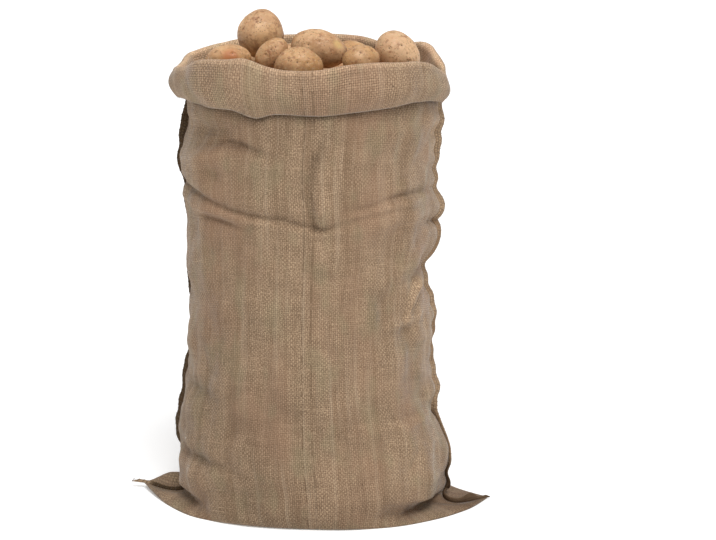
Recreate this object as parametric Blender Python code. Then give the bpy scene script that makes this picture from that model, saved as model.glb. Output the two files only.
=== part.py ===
"""A hessian sack of potatoes, standing full with its mouth turned down outside as a cuff.

Metres, +Z up. The front panel faces -Y, with +X to the right of someone facing it. The origin
is on the floor under the middle of the base fold, which runs along X from ear to ear.

The sack is one length of cloth, folded at the base and sewn up both sides. A place on it is
given by its turn and its height: turn -1 is the left seam, 0 the middle of the front, 1 the
right seam, 2 the middle of the back and 3 the left seam again.
"""

import bmesh
import bpy
import numpy as np

# ---- driving dimensions ----
CLOTH = 0.0024              # thickness of the cloth
BASE_FOLD = 0.566           # length of the base fold, from one seam to the other
BASE_MIDDLE = 0.003         # where the middle of that fold lies along X
FOLD_INSET = 0.006          # the fold line stops this short of the ears' tips
PANEL_WIDTH = 0.57          # width of one panel between its seams
SQUARENESS = 2.35           # 2 would make the body's section an ellipse
HEM = 0.012                 # depth of the doubled hem at the mouth

SEAM_WIDTH = 0.013          # how far the two sewn selvedges stand out
SEAM_THICKNESS = 0.0034
SEAM_GAP = 0.0005           # between a seam and the cloth it stands on
SEAM_TAILS = {"left": 0.026, "right": 0.004}    # how far each seam runs on past its ear
TAIL_SLOPE = 0.12           # how steeply that tail sinks to its end

GAP = 0.0012                # least room between a potato and its neighbours
SKIN_ROOM = 0.003           # least room between the filling and the cloth

# ---- how finely the surfaces are divided ----
COLUMNS = 52
BASE_STATIONS = 200         # places across the base where its width is shared out
FLOOR_ROWS = (0.45, 1.0)
FLARE_ROWS = (0.10, 0.24, 0.42, 0.62, 0.82, 1.0)
WALL_LEVELS = (0.035, 0.07, 0.105, 0.14, 0.175, 0.21, 0.255, 0.30, 0.35, 0.395, 0.435, 0.465,
               0.49, 0.515, 0.54, 0.567, 0.595, 0.622, 0.65, 0.678, 0.705, 0.733, 0.77, 0.81,
               0.85, 0.89, 0.93, 0.965, 1.0)
RIM_ROWS = 3
CUFF_ROWS = 4
POTATO_SIDES = 10
POTATO_RINGS = 8


def table(columns, rows):
    """A table as one array for each named column."""
    return dict(zip(columns.split(), np.array(rows, float).T))


# The body's outline at several heights, and how far it reaches to the front and the back.
SECTIONS = table("height left right front back", [
    (0.00, -0.212, 0.207, 0.164, 0.162),
    (0.05, -0.216, 0.210, 0.168, 0.167),
    (0.11, -0.216, 0.206, 0.169, 0.168),
    (0.18, -0.204, 0.192, 0.167, 0.165),
    (0.27, -0.195, 0.184, 0.165, 0.163),
    (0.38, -0.193, 0.184, 0.164, 0.163),
    (0.48, -0.194, 0.192, 0.165, 0.164),
    (0.56, -0.195, 0.188, 0.165, 0.164),
    (0.64, -0.192, 0.194, 0.163, 0.163),
    (0.75, -0.206, 0.201, 0.160, 0.162)])

# How far the cloth lies out from the base fold before it turns up, across the sack.
BASE = table("across front back", [
    (-1.00, 0.000, 0.000), (-0.93, 0.036, 0.036), (-0.80, 0.079, 0.079),
    (-0.66, 0.116, 0.116), (-0.52, 0.140, 0.140), (-0.35, 0.156, 0.156),
    (0.00, 0.162, 0.162), (0.35, 0.152, 0.152), (0.52, 0.137, 0.136), (0.66, 0.114, 0.104),
    (0.82, 0.078, 0.052), (0.93, 0.040, 0.020), (1.00, 0.000, 0.000)])

# How the cloth comes off the floor: it first leans out, lifts, keeps low, then joins the wall.
FLARE = table("turn out lift low height", [
    (-1.00, 0.004, 0.016, 0.004, 0.040),
    (-0.75, 0.006, 0.014, 0.006, 0.042),
    (-0.50, 0.008, 0.007, 0.018, 0.048),
    (0.00, 0.009, 0.003, 0.020, 0.050),
    (0.50, 0.008, 0.006, 0.016, 0.050),
    (0.75, 0.006, 0.008, 0.003, 0.040),
    (1.00, 0.004, 0.006, 0.002, 0.030),
    (1.25, 0.006, 0.004, 0.003, 0.038),
    (1.50, 0.008, 0.004, 0.014, 0.048),
    (2.00, 0.009, 0.003, 0.020, 0.050),
    (2.50, 0.008, 0.006, 0.020, 0.050),
    (2.75, 0.006, 0.014, 0.012, 0.050)])

# The top of the turned rim, the hem below it, and how far the cuff stands off the wall.
MOUTH = table("turn rim hem roll bulge hem_out", [
    (-1.00, 0.704, 0.667, 0.0055, 0.019, 0.012),
    (-0.70, 0.711, 0.667, 0.0060, 0.017, 0.010),
    (-0.44, 0.730, 0.661, 0.0070, 0.020, 0.011),
    (-0.20, 0.732, 0.650, 0.0080, 0.027, 0.014),
    (-0.04, 0.720, 0.653, 0.0080, 0.024, 0.011),
    (0.18, 0.722, 0.655, 0.0080, 0.022, 0.011),
    (0.47, 0.727, 0.662, 0.0080, 0.021, 0.011),
    (0.70, 0.719, 0.667, 0.0070, 0.019, 0.012),
    (1.00, 0.684, 0.654, 0.0055, 0.016, 0.011),
    (1.20, 0.706, 0.654, 0.0060, 0.018, 0.010),
    (1.43, 0.727, 0.656, 0.0070, 0.020, 0.010),
    (1.62, 0.719, 0.655, 0.0075, 0.020, 0.010),
    (1.85, 0.729, 0.652, 0.0080, 0.022, 0.011),
    (2.20, 0.729, 0.656, 0.0080, 0.022, 0.011),
    (2.50, 0.722, 0.660, 0.0070, 0.020, 0.010),
    (2.80, 0.710, 0.666, 0.0060, 0.018, 0.010)])

# Folds in the wall: a width, then the line each follows as turn, height and depth.
# A depth above zero stands out and one below zero sinks in.
WALL_FOLDS = {
    "long crease, left": (0.013, [
        (-1.25, 0.520, -0.004), (-0.90, 0.514, -0.008), (-0.53, 0.510, -0.007),
        (-0.28, 0.504, -0.006), (0.00, 0.487, -0.006), (0.12, 0.480, -0.004)]),
    "long crease, right": (0.013, [
        (0.05, 0.486, -0.004), (0.26, 0.504, -0.004), (0.51, 0.521, -0.005),
        (0.85, 0.516, -0.004), (1.20, 0.500, 0.000)]),
    "lower crease": (0.012, [
        (-0.70, 0.490, 0.000), (-0.43, 0.486, -0.003), (-0.20, 0.470, -0.002),
        (0.10, 0.466, -0.003), (0.36, 0.474, -0.003), (0.70, 0.478, -0.004),
        (1.00, 0.462, -0.008), (1.30, 0.455, 0.000)]),
    "roll between the creases": (0.014, [
        (0.55, 0.500, 0.000), (0.85, 0.494, 0.005), (1.02, 0.488, 0.009),
        (1.30, 0.480, 0.000)]),
    "sunk band under the cuff": (0.020, [
        (-1.00, 0.630, 0.000), (-0.67, 0.620, -0.007), (-0.35, 0.612, -0.007),
        (-0.10, 0.598, -0.003), (0.10, 0.590, 0.000)]),
    "swelling below the band": (0.026, [
        (-1.05, 0.575, 0.005), (-0.55, 0.574, 0.007), (-0.30, 0.570, 0.003)]),
    "upright crease": (0.010, [
        (0.10, 0.635, 0.000), (0.07, 0.585, -0.004), (0.04, 0.530, -0.005),
        (0.02, 0.495, -0.003)]),
    "swelling by the upright crease": (0.016, [
        (0.14, 0.590, 0.001), (0.14, 0.540, 0.004), (0.14, 0.505, 0.003)]),
    "swelling over the left end of the crease": (0.020, [
        (-1.30, 0.548, 0.000), (-1.00, 0.548, 0.010), (-0.80, 0.546, 0.005)]),
    "crease end at the left seam": (0.016, [
        (-1.20, 0.508, 0.000), (-1.00, 0.506, -0.005), (-0.85, 0.508, 0.000)]),
    "shoulder under the cuff": (0.022, [
        (0.75, 0.620, 0.000), (0.98, 0.622, 0.004), (1.20, 0.620, 0.000)]),
    "waist at the right seam": (0.016, [
        (0.38, 0.356, -0.002), (0.60, 0.384, -0.006), (0.80, 0.396, -0.010),
        (1.00, 0.392, -0.019), (1.25, 0.388, -0.008), (1.55, 0.392, 0.000)]),
    "swelling over the waist": (0.022, [
        (0.70, 0.430, 0.001), (1.00, 0.432, 0.004), (1.30, 0.430, 0.002)]),
    "small fold under the waist": (0.013, [
        (0.45, 0.310, -0.001), (0.73, 0.326, -0.005), (0.95, 0.336, -0.002)]),
    "ridge beside it": (0.012, [
        (0.52, 0.332, 0.001), (0.70, 0.350, 0.004), (0.86, 0.362, 0.003)]),
    "notch low at the right seam": (0.013, [
        (0.75, 0.186, 0.000), (1.00, 0.172, -0.008), (1.25, 0.176, 0.000)]),
    "left pinch": (0.014, [
        (-1.20, 0.215, 0.000), (-0.95, 0.200, -0.005), (-0.44, 0.192, -0.003),
        (-0.30, 0.175, -0.001)]),
    "lower left crease": (0.014, [
        (-1.10, 0.092, -0.002), (-0.80, 0.094, -0.006), (-0.47, 0.094, -0.006),
        (-0.28, 0.088, -0.001)]),
    "belly at the lower right": (0.030, [
        (0.55, 0.125, 0.003), (0.72, 0.085, 0.006), (0.60, 0.070, 0.003)]),
    "swelling behind the lower right seam": (0.028, [
        (1.12, 0.110, 0.008), (1.14, 0.064, 0.018), (1.14, 0.040, 0.017)]),
    "valley over the right ear": (0.013, [
        (0.42, 0.018, 0.000), (0.58, 0.026, -0.007), (0.76, 0.034, -0.010),
        (0.92, 0.034, -0.004)]),
    "valley over the left ear": (0.012, [
        (-0.50, 0.030, -0.002), (-0.64, 0.036, -0.008), (-0.80, 0.036, -0.006)]),
    "back crease, high": (0.015, [
        (1.30, 0.535, 0.000), (1.65, 0.520, -0.005), (2.10, 0.535, -0.006),
        (2.50, 0.520, -0.004), (2.80, 0.525, 0.000)]),
    "back crease, low": (0.016, [
        (1.40, 0.262, 0.000), (1.75, 0.245, -0.005), (2.20, 0.232, -0.003),
        (2.45, 0.240, 0.000)]),
    "back swelling": (0.045, [
        (1.70, 0.380, 0.000), (2.00, 0.390, 0.005), (2.40, 0.370, 0.002)]),
    "back upright crease": (0.012, [
        (2.12, 0.630, 0.000), (2.10, 0.560, -0.005), (2.16, 0.470, -0.002)]),
    "left waist": (0.016, [
        (2.55, 0.345, 0.000), (2.80, 0.338, -0.006), (3.05, 0.345, -0.004),
        (3.30, 0.350, 0.000)]),
}

# Folds in the turned-down cuff, in the same terms.
CUFF_FOLDS = {
    "dip by the middle": (0.020, [(0.00, 0.710, -0.004), (0.04, 0.680, -0.003)]),
    "hollow near the left end": (0.018, [(-0.62, 0.700, -0.003), (-0.55, 0.680, -0.002)]),
    "lift near the right end": (0.020, [(0.80, 0.690, 0.003), (0.90, 0.675, 0.004)]),
    "back dip": (0.022, [(1.62, 0.700, -0.005), (1.60, 0.670, -0.003)]),
    "back hollow": (0.022, [(2.30, 0.700, -0.004), (2.35, 0.670, -0.002)]),
}

# Where the mouth is drawn in or pushed out, at the rim.
MOUTH_PUSH = table("turn push", [
    (-1.00, 0.002), (-0.60, 0.000), (0.00, 0.000), (0.60, 0.000), (1.00, 0.005),
    (1.22, 0.002), (1.43, 0.004), (1.60, -0.012), (1.80, 0.000), (2.40, 0.000)])
PUSH_START, PUSH_END = 0.64, 0.73   # the push grows from nothing to its full size

# How each seam leans along its length: 0 straight out of the wall, above zero to the back.
SEAM_LEANS = {
    "left": table("height lean", [
        (0.00, 84), (0.03, 80), (0.06, 66), (0.10, 50), (0.14, 36), (0.20, 54), (0.24, 74),
        (0.30, 76), (0.36, 74), (0.42, 78), (0.48, 74), (0.53, 66), (0.57, 52), (0.62, 30),
        (0.65, 52), (0.70, 60)]),
    "right": table("height lean", [
        (0.00, -80), (0.02, -80), (0.05, -70), (0.10, -64), (0.15, -66), (0.19, -40),
        (0.24, 20), (0.29, -30), (0.34, 15), (0.39, 35), (0.44, -30), (0.48, -20), (0.53, 20),
        (0.58, -36), (0.64, 45), (0.70, 60)]),
}
SEAM_TOP = 0.672            # the seams end out of sight under the cuff
SEAM_WAVE = 12.0            # degrees that a seam ripples about its lean
SEAM_RIPPLES = 46.0         # radians of ripple for each metre

# The potatoes at the mouth: centre, half sizes, and how each is turned and tipped (degrees).
POTATOES = table("x y z length width depth turned tipped", [
    (-0.078, 0.015, 0.749, 0.041, 0.041, 0.040, 20, 78),
    (-0.112, -0.078, 0.725, 0.036, 0.025, 0.023, 2, 3),
    (-0.052, -0.074, 0.731, 0.033, 0.022, 0.022, 8, 48),
    (0.017, -0.028, 0.733, 0.049, 0.032, 0.032, -4, -13),
    (-0.006, -0.110, 0.718, 0.040, 0.031, 0.033, 0, 6),
    (0.088, -0.072, 0.721, 0.031, 0.027, 0.025, 12, 4),
    (0.138, -0.026, 0.725, 0.042, 0.036, 0.035, -12, -48),
    (0.062, -0.124, 0.690, 0.039, 0.027, 0.027, 15, 0),
    (0.128, -0.088, 0.686, 0.037, 0.029, 0.027, -40, 5),
    (-0.078, -0.122, 0.688, 0.040, 0.027, 0.026, -12, 0),
    (-0.158, -0.008, 0.680, 0.037, 0.028, 0.027, 80, 5),
    (-0.134, 0.058, 0.696, 0.040, 0.030, 0.029, 50, 0),
    (-0.086, 0.110, 0.694, 0.041, 0.029, 0.028, 25, -6),
    (-0.034, 0.066, 0.702, 0.038, 0.031, 0.030, 60, 10),
    (-0.016, 0.128, 0.690, 0.040, 0.029, 0.027, -5, 0),
    (0.030, 0.054, 0.680, 0.040, 0.030, 0.029, 35, -6),
    (0.056, 0.112, 0.692, 0.039, 0.030, 0.028, -20, 5),
    (0.094, 0.044, 0.682, 0.037, 0.031, 0.029, 70, 0),
    (0.118, 0.094, 0.690, 0.040, 0.028, 0.027, -45, 0),
    (0.162, 0.046, 0.688, 0.035, 0.026, 0.025, -75, 4),
    (-0.100, -0.024, 0.684, 0.036, 0.028, 0.026, -30, 0),
    (0.064, -0.046, 0.680, 0.036, 0.028, 0.026, 40, 0)])
SETTLING_STEPS = 140
ROOM_ABOVE = 0.02           # each keeps clear of the wall this far above its middle
HIGHEST_WALL = 0.712        # and of the wall at this height if it sits higher

# The load below the potatoes that show.
FILLING_SIDES = 32
FILLING_TOP = 0.688
FILLING_FLOOR = 0.0034
FILLING_RINGS = (FILLING_FLOOR, 0.026, 0.075, 0.16, 0.30, 0.45, 0.58, 0.648)
FILLING_INSET = 0.026
FOOT_INSET = 0.030          # the foot of the filling is drawn in by this much more
FOOT_HEIGHT = 0.05
FILLING_TOP_RINGS = 9
FILLING_REACH = 0.015       # the top is cleared this far round each potato's underside

# colour, roughness
MATERIALS = {
    "hessian": ((0.31, 0.21, 0.135), 0.95),
    "selvedge": ((0.20, 0.13, 0.080), 0.95),
    "potato skin": ((0.50, 0.27, 0.105), 0.60),
    "hidden load": ((0.20, 0.11, 0.050), 0.80),
}


# ---- reading the tables ----

def curve(knots, values, places):
    """A smooth curve through the values at the knots, read at the given places."""
    slopes = np.gradient(values, knots)
    left = np.clip(np.searchsorted(knots, places) - 1, 0, len(knots) - 2)
    step = knots[left + 1] - knots[left]
    t = np.clip((places - knots[left]) / step, 0, 1)
    return ((2 * t**3 - 3 * t**2 + 1) * values[left] + (t**3 - 2 * t**2 + t) * step * slopes[left]
            + (3 * t**2 - 2 * t**3) * values[left + 1] + (t**3 - t**2) * step * slopes[left + 1])


def around(rows, column, turns):
    """A column of a table that runs right round the sack, read at the given turns."""
    knots = rows["turn"]
    knots = np.concatenate([knots[-2:] - 4, knots, knots[:2] + 4])
    values = rows[column]
    values = np.concatenate([values[-2:], values, values[:2]])
    return curve(knots, values, (turns + 1) % 4 - 1)


def smooth_step(places, start, end):
    t = np.clip((places - start) / (end - start), 0, 1)
    return t * t * (3 - 2 * t)


# ---- the cloth ----

def section(turns, left, right, front, back):
    """Points of a level section through the body, as x and y."""
    sideways, forwards = np.sin(turns * np.pi / 2), np.cos(turns * np.pi / 2)
    half = (right - left) / 2
    x = (left + right) / 2 + half * np.sign(sideways) * np.abs(sideways) ** (2 / SQUARENESS)
    depth = np.where(forwards > 0, front, back)
    y = -depth * np.sign(forwards) * np.abs(forwards) ** (2 / SQUARENESS)
    return x, y


def even_turns(count):
    """Turns that share a section out into equal widths of cloth, from the left seam round."""
    fine = np.linspace(-1, 3, 4001)
    sides = [SECTIONS[name].mean() for name in ("left", "right", "front", "back")]
    x, y = section(fine, *sides)
    length = np.concatenate([[0], np.cumsum(np.hypot(np.diff(x), np.diff(y)))])
    return np.interp(np.arange(count) / count * length[-1], length, fine)


def wall_point(turns, heights):
    """The plain wall of the filled sack, without its folds."""
    sides = [curve(SECTIONS["height"], SECTIONS[name], heights)
             for name in ("left", "right", "front", "back")]
    x, y = section(turns, *sides)
    return np.stack([x, y, heights], -1)


def outward(turns, heights):
    """Level unit vectors that point straight out of the wall."""
    step = 0.02
    along = wall_point(turns + step, heights) - wall_point(turns - step, heights)
    out = np.stack([along[..., 1], -along[..., 0], np.zeros_like(heights)], -1)
    return out / np.linalg.norm(out, axis=-1, keepdims=True)


def fold_depth(folds, turns, heights):
    """How far the folds push the cloth out at each place."""
    metres_per_turn = PANEL_WIDTH / 2
    total = np.zeros(np.broadcast(turns, heights).shape)
    for width, line in folds.values():
        nearest = np.full(total.shape, np.inf)
        depth = np.zeros(total.shape)
        for (turn_a, height_a, depth_a), (turn_b, height_b, depth_b) in zip(line, line[1:]):
            across = ((turns - turn_a + 2) % 4 - 2) * metres_per_turn
            up = heights - height_a
            run, rise = (turn_b - turn_a) * metres_per_turn, height_b - height_a
            t = np.clip((across * run + up * rise) / (run * run + rise * rise), 0, 1)
            distance = np.hypot(across - t * run, up - t * rise)
            closer = distance < nearest
            nearest = np.where(closer, distance, nearest)
            depth = np.where(closer, depth_a + t * (depth_b - depth_a), depth)
        total += depth * np.exp(-(nearest / width) ** 2)
    return total


def base_points(turns):
    """The base fold, and the line where the cloth leaves the floor."""
    front = turns < 1
    turn_from_front = np.where(turns > 1, 2 - turns, turns)
    even = even_turns(2 * BASE_STATIONS)[:BASE_STATIONS + 1]
    across = np.interp(turn_from_front, even, np.linspace(-1, 1, BASE_STATIONS + 1))
    ahead, behind = (curve(BASE["across"], BASE[name], across) for name in ("front", "back"))
    fold = np.stack([BASE_MIDDLE + across * (BASE_FOLD / 2 - FOLD_INSET),
                     np.zeros_like(across), np.zeros_like(across)], -1)
    edge = np.stack([BASE_MIDDLE + across * BASE_FOLD / 2, np.where(front, -ahead, behind),
                     np.zeros_like(across)], -1)
    return fold, edge


def base_outward(turns):
    """Level unit vectors that point out across the edge of the base."""
    step = 0.02
    wrapped = [(turns + shift + 1) % 4 - 1 for shift in (-step, step)]
    along = base_points(wrapped[1])[1] - base_points(wrapped[0])[1]
    out = np.stack([along[:, 1], -along[:, 0], np.zeros_like(turns)], -1)
    return out / np.linalg.norm(out, axis=-1, keepdims=True)


def folded_wall(turns, heights):
    """The wall with its folds and the push at the mouth."""
    push = around(MOUTH_PUSH, "push", turns) * smooth_step(heights, PUSH_START, PUSH_END)
    move = fold_depth(WALL_FOLDS, turns, heights) + push
    return wall_point(turns, heights) + outward(turns, heights) * move[..., None]


def flare_point(turns, t):
    """The cloth between the floor and the wall: low and long at the ears, tight elsewhere."""
    out, lift, low, height = (around(FLARE, name, turns) for name in ("out", "lift", "low", "height"))
    up = np.array([0.0, 0.0, 1.0])
    foot = base_points(turns)[1] + up * CLOTH / 2
    lean = foot + base_outward(turns) * out[:, None] + up * lift[:, None]
    top = wall_point(turns, height)
    bend = top - up * (height - low)[:, None]
    point = ((1 - t)**3 * foot + 3 * (1 - t)**2 * t * lean + 3 * (1 - t) * t**2 * bend
             + t**3 * top)
    move = fold_depth(WALL_FOLDS, turns, point[:, 2]) * smooth_step(point[:, 2], 0.0, 0.02)
    return point + outward(turns, height) * move[:, None]


def cuff_point(turns, t, turned):
    """The rim's roll (turned runs 0 to 1) and the cuff below it (t runs 0 to 1)."""
    rim, hem, roll, bulge, hem_out = (
        around(MOUTH, name, turns) for name in ("rim", "hem", "roll", "bulge", "hem_out"))
    start = rim - roll
    height = start - t * (start - hem)
    angle = np.pi * turned
    stand_off = roll * (1 - np.cos(angle))
    if t > 0:
        middle = (4 * bulge - 2 * roll - hem_out) / 2
        stand_off = (1 - t)**2 * 2 * roll + 2 * (1 - t) * t * middle + t**2 * hem_out
    push = around(MOUTH_PUSH, "push", turns)
    move = stand_off + push + fold_depth(CUFF_FOLDS, turns, height) * (turned == 1)
    point = wall_point(turns, height) + outward(turns, height) * move[:, None]
    point[:, 2] += roll * np.sin(angle)
    return point


def cloth_rows(turns):
    """The middle of the cloth, row by row from the base fold to the hem, and its thickness."""
    fold, edge = base_points(turns)
    up = np.array([0.0, 0.0, CLOTH / 2])
    rows = [fold + up] + [fold + (edge - fold) * t + up for t in FLOOR_ROWS]
    rows += [flare_point(turns, t) for t in FLARE_ROWS]
    start = around(FLARE, "height", turns)
    end = around(MOUTH, "rim", turns) - around(MOUTH, "roll", turns)
    rows += [folded_wall(turns, start + (end - start) * level) for level in WALL_LEVELS]
    rows += [cuff_point(turns, 0.0, k / RIM_ROWS) for k in range(1, RIM_ROWS + 1)]
    length = float(np.mean(end - around(MOUTH, "hem", turns)))
    hem_start = 1 - HEM / length
    downs = [hem_start * k / CUFF_ROWS for k in range(1, CUFF_ROWS + 1)] + [hem_start + 0.03, 1.0]
    rows += [cuff_point(turns, t, 1.0) for t in downs]
    thickness = [CLOTH] * (len(rows) - 2) + [2 * CLOTH] * 2
    return np.array(rows), np.array(thickness)


def normals_of(rows):
    """Unit normals of a grid of rows that close round the sack, pointing out of the wall."""
    along = np.roll(rows, -1, axis=1) - np.roll(rows, 1, axis=1)
    up = np.gradient(rows, axis=0)
    normals = np.cross(along, up)
    length = np.linalg.norm(normals, axis=-1, keepdims=True)
    return normals / np.maximum(length, 1e-12)


def make_cloth(rows, thickness):
    floor = len(FLOOR_ROWS) + 1
    offset = normals_of(rows) * thickness[:, None, None] / 2
    offset[:floor] = (0.0, 0.0, -CLOTH / 2)
    mesh = bmesh.new()
    faces_of_cloth = []
    for side in (1, -1):
        points = rows + side * offset
        grid = []
        for number, row in enumerate(points):
            if number == 0:
                half = [mesh.verts.new(p) for p in row[:COLUMNS // 2 + 1]]
                grid.append(half + half[-2:0:-1])
            else:
                grid.append([mesh.verts.new(p) for p in row])
        faces_of_cloth.append(grid)
        for lower, upper in zip(grid, grid[1:]):
            for j in range(COLUMNS):
                k = (j + 1) % COLUMNS
                corners = [lower[j], lower[k], upper[k], upper[j]]
                mesh.faces.new(corners if side > 0 else corners[::-1])
    outer, inner = faces_of_cloth[0][-1], faces_of_cloth[1][-1]
    for j in range(COLUMNS):
        k = (j + 1) % COLUMNS
        mesh.faces.new([outer[j], outer[k], inner[k], inner[j]])
    return finish(mesh, "sack_cloth", "hessian")


# ---- the side seams ----

def seam_path(side, rows):
    """Where a seam is rooted: points up the middle of the cloth, and the cloth's normals."""
    column = 0 if side == "left" else COLUMNS // 2
    first = len(FLOOR_ROWS) + 2
    last = first - 1 + len(FLARE_ROWS) + len(WALL_LEVELS)
    normals = normals_of(rows)[first:last, column]
    points = rows[first:last, column]
    keep = points[:, 2] < SEAM_TOP
    points, normals = points[keep], normals[keep]
    away = np.array([np.sign(points[0, 0]), 0.0, -TAIL_SLOPE])
    tail = points[0] + away * SEAM_TAILS[side]
    points = np.concatenate([[tail], points])
    normals = np.concatenate([normals[:1], normals])
    halves = np.arange(2 * len(points) - 1) / 2
    whole = np.arange(len(points))
    points, normals = (np.stack([np.interp(halves, whole, values[:, i]) for i in range(3)], -1)
                       for values in (points, normals))
    normals /= np.linalg.norm(normals, axis=-1, keepdims=True)
    return points, normals


def make_seam(side, rows):
    points, normals = seam_path(side, rows)
    steps = np.linalg.norm(np.diff(points, axis=0), axis=1)
    along = np.concatenate([[0], np.cumsum(steps)])
    tangents = np.gradient(points, axis=0)
    tangents /= np.linalg.norm(tangents, axis=1, keepdims=True)
    leans = curve(SEAM_LEANS[side]["height"], SEAM_LEANS[side]["lean"], points[:, 2])
    leans = leans + SEAM_WAVE * np.sin(SEAM_RIPPLES * along)
    lean = np.radians(leans)[:, None]
    sideways = np.cross(tangents, normals)
    sideways *= np.sign(sideways[:, 1:2])
    out = normals * np.cos(lean) + sideways * np.sin(lean)
    thick = np.cross(tangents, out)
    thick *= SEAM_THICKNESS / 2 / np.linalg.norm(thick, axis=1, keepdims=True)
    clear = CLOTH / 2 + SEAM_GAP + SEAM_THICKNESS / 2 * np.abs(np.sin(lean))
    root = points + normals * clear
    tip = root + out * SEAM_WIDTH
    mesh = bmesh.new()
    corners = [root - thick, tip - thick * 0.7, tip + thick * 0.7, root + thick]
    loops = [[mesh.verts.new(corner[i]) for corner in corners] for i in range(len(points))]
    for lower, upper in zip(loops, loops[1:]):
        for j in range(4):
            k = (j + 1) % 4
            mesh.faces.new([lower[j], lower[k], upper[k], upper[j]])
    mesh.faces.new(loops[0][::-1])
    mesh.faces.new(loops[-1])
    bmesh.ops.recalc_face_normals(mesh, faces=mesh.faces)
    return finish(mesh, "side_seam_" + side, "selvedge")


# ---- the potatoes ----

def turned_axes(turned, tipped):
    """The three axes of a potato, its length first, as the rows of a matrix."""
    yaw, pitch = np.radians(turned), np.radians(tipped)
    length = np.array([np.cos(yaw) * np.cos(pitch), np.sin(yaw) * np.cos(pitch), np.sin(pitch)])
    width = np.array([-np.sin(yaw), np.cos(yaw), 0.0])
    return np.array([length, width, np.cross(length, width)])


def spread(axes, sizes):
    """The matrix whose root gives how far a potato reaches in a direction."""
    return axes.T @ np.diag(sizes**2) @ axes


def settle(centres, shapes):
    """Move overlapping potatoes apart, a little at a time, keeping them inside the mouth."""
    centres = centres.copy()
    for _ in range(SETTLING_STEPS):
        for i in range(len(centres)):
            for j in range(i + 1, len(centres)):
                between = centres[j] - centres[i]
                direction = np.linalg.solve(shapes[i] + shapes[j], between)
                direction /= np.linalg.norm(direction)
                reach = sum(np.sqrt(direction @ shapes[k] @ direction) for k in (i, j))
                short = reach + GAP - between @ direction
                if short > 0:
                    centres[i] -= direction * short * 0.5
                    centres[j] += direction * short * 0.5
        for i, centre in enumerate(centres):
            turn = np.degrees(np.arctan2(centre[0], -centre[1])) / 90
            turns = turn + np.array([-0.2, 0.0, 0.2])
            heights = np.full(3, min(centre[2] + ROOM_ABOVE, HIGHEST_WALL))
            for wall, out in zip(folded_wall(turns, heights), outward(turns, heights)):
                reach = np.sqrt(out @ shapes[i] @ out) + CLOTH + SKIN_ROOM
                beyond = (centres[i] - wall) @ out + reach
                if beyond > 0:
                    centres[i] -= out * beyond
    return centres


def potato_layout():
    rows = POTATOES
    sizes = np.stack([rows[name] for name in ("length", "width", "depth")], -1)
    axes = [turned_axes(*angles) for angles in zip(rows["turned"], rows["tipped"])]
    shapes = [spread(a, s) for a, s in zip(axes, sizes)]
    start = np.stack([rows[name] for name in ("x", "y", "z")], -1)
    return settle(start, shapes), sizes, shapes


def lumps(direction, number):
    """How much smaller than its ellipsoid a potato is in each direction, 0 to about 0.08."""
    seed = np.random.default_rng(number)
    total = np.zeros(len(direction))
    for _ in range(4):
        wave, shift = seed.normal(size=3) * 1.7, seed.uniform(0, 2 * np.pi)
        total += 0.5 + 0.5 * np.sin(direction @ wave + shift)
    return 0.02 * total


def make_potato(number, centre, sizes, turned, tipped):
    mesh = bmesh.new()
    bmesh.ops.create_uvsphere(mesh, u_segments=POTATO_SIDES, v_segments=POTATO_RINGS, radius=1.0)
    upright = np.array([v.co for v in mesh.verts])
    direction = upright[:, [2, 0, 1]]
    taper = 1 - 0.10 * (direction[:, :1] > 0) * direction[:, :1]
    local = direction * sizes * (1 - lumps(direction, number))[:, None]
    local[:, 1:] *= taper
    for vert, place in zip(mesh.verts, local):
        vert.co = place
    made = finish(mesh, "potato_%02d" % (number + 1), "potato skin")
    made.location = centre
    made.rotation_euler = (0.0, -np.radians(tipped), np.radians(turned))
    return made


# ---- the rest of the load ----

def lowest_reach(places, centres, shapes):
    """The height of the potatoes' undersides over each place, or infinity away from them."""
    lowest = np.full(len(places), np.inf)
    for centre, shape in zip(centres, shapes):
        inverse = np.linalg.inv(shape)
        flat = places - centre[:2]
        a = inverse[2, 2]
        b = 2 * flat @ inverse[:2, 2]
        c = np.einsum("ni,ij,nj->n", flat, inverse[:2, :2], flat) - 1
        inside = b * b - 4 * a * c
        under = centre[2] + (-b - np.sqrt(np.maximum(inside, 0))) / (2 * a)
        lowest = np.where(inside > 0, np.minimum(lowest, under), lowest)
    return lowest


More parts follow.
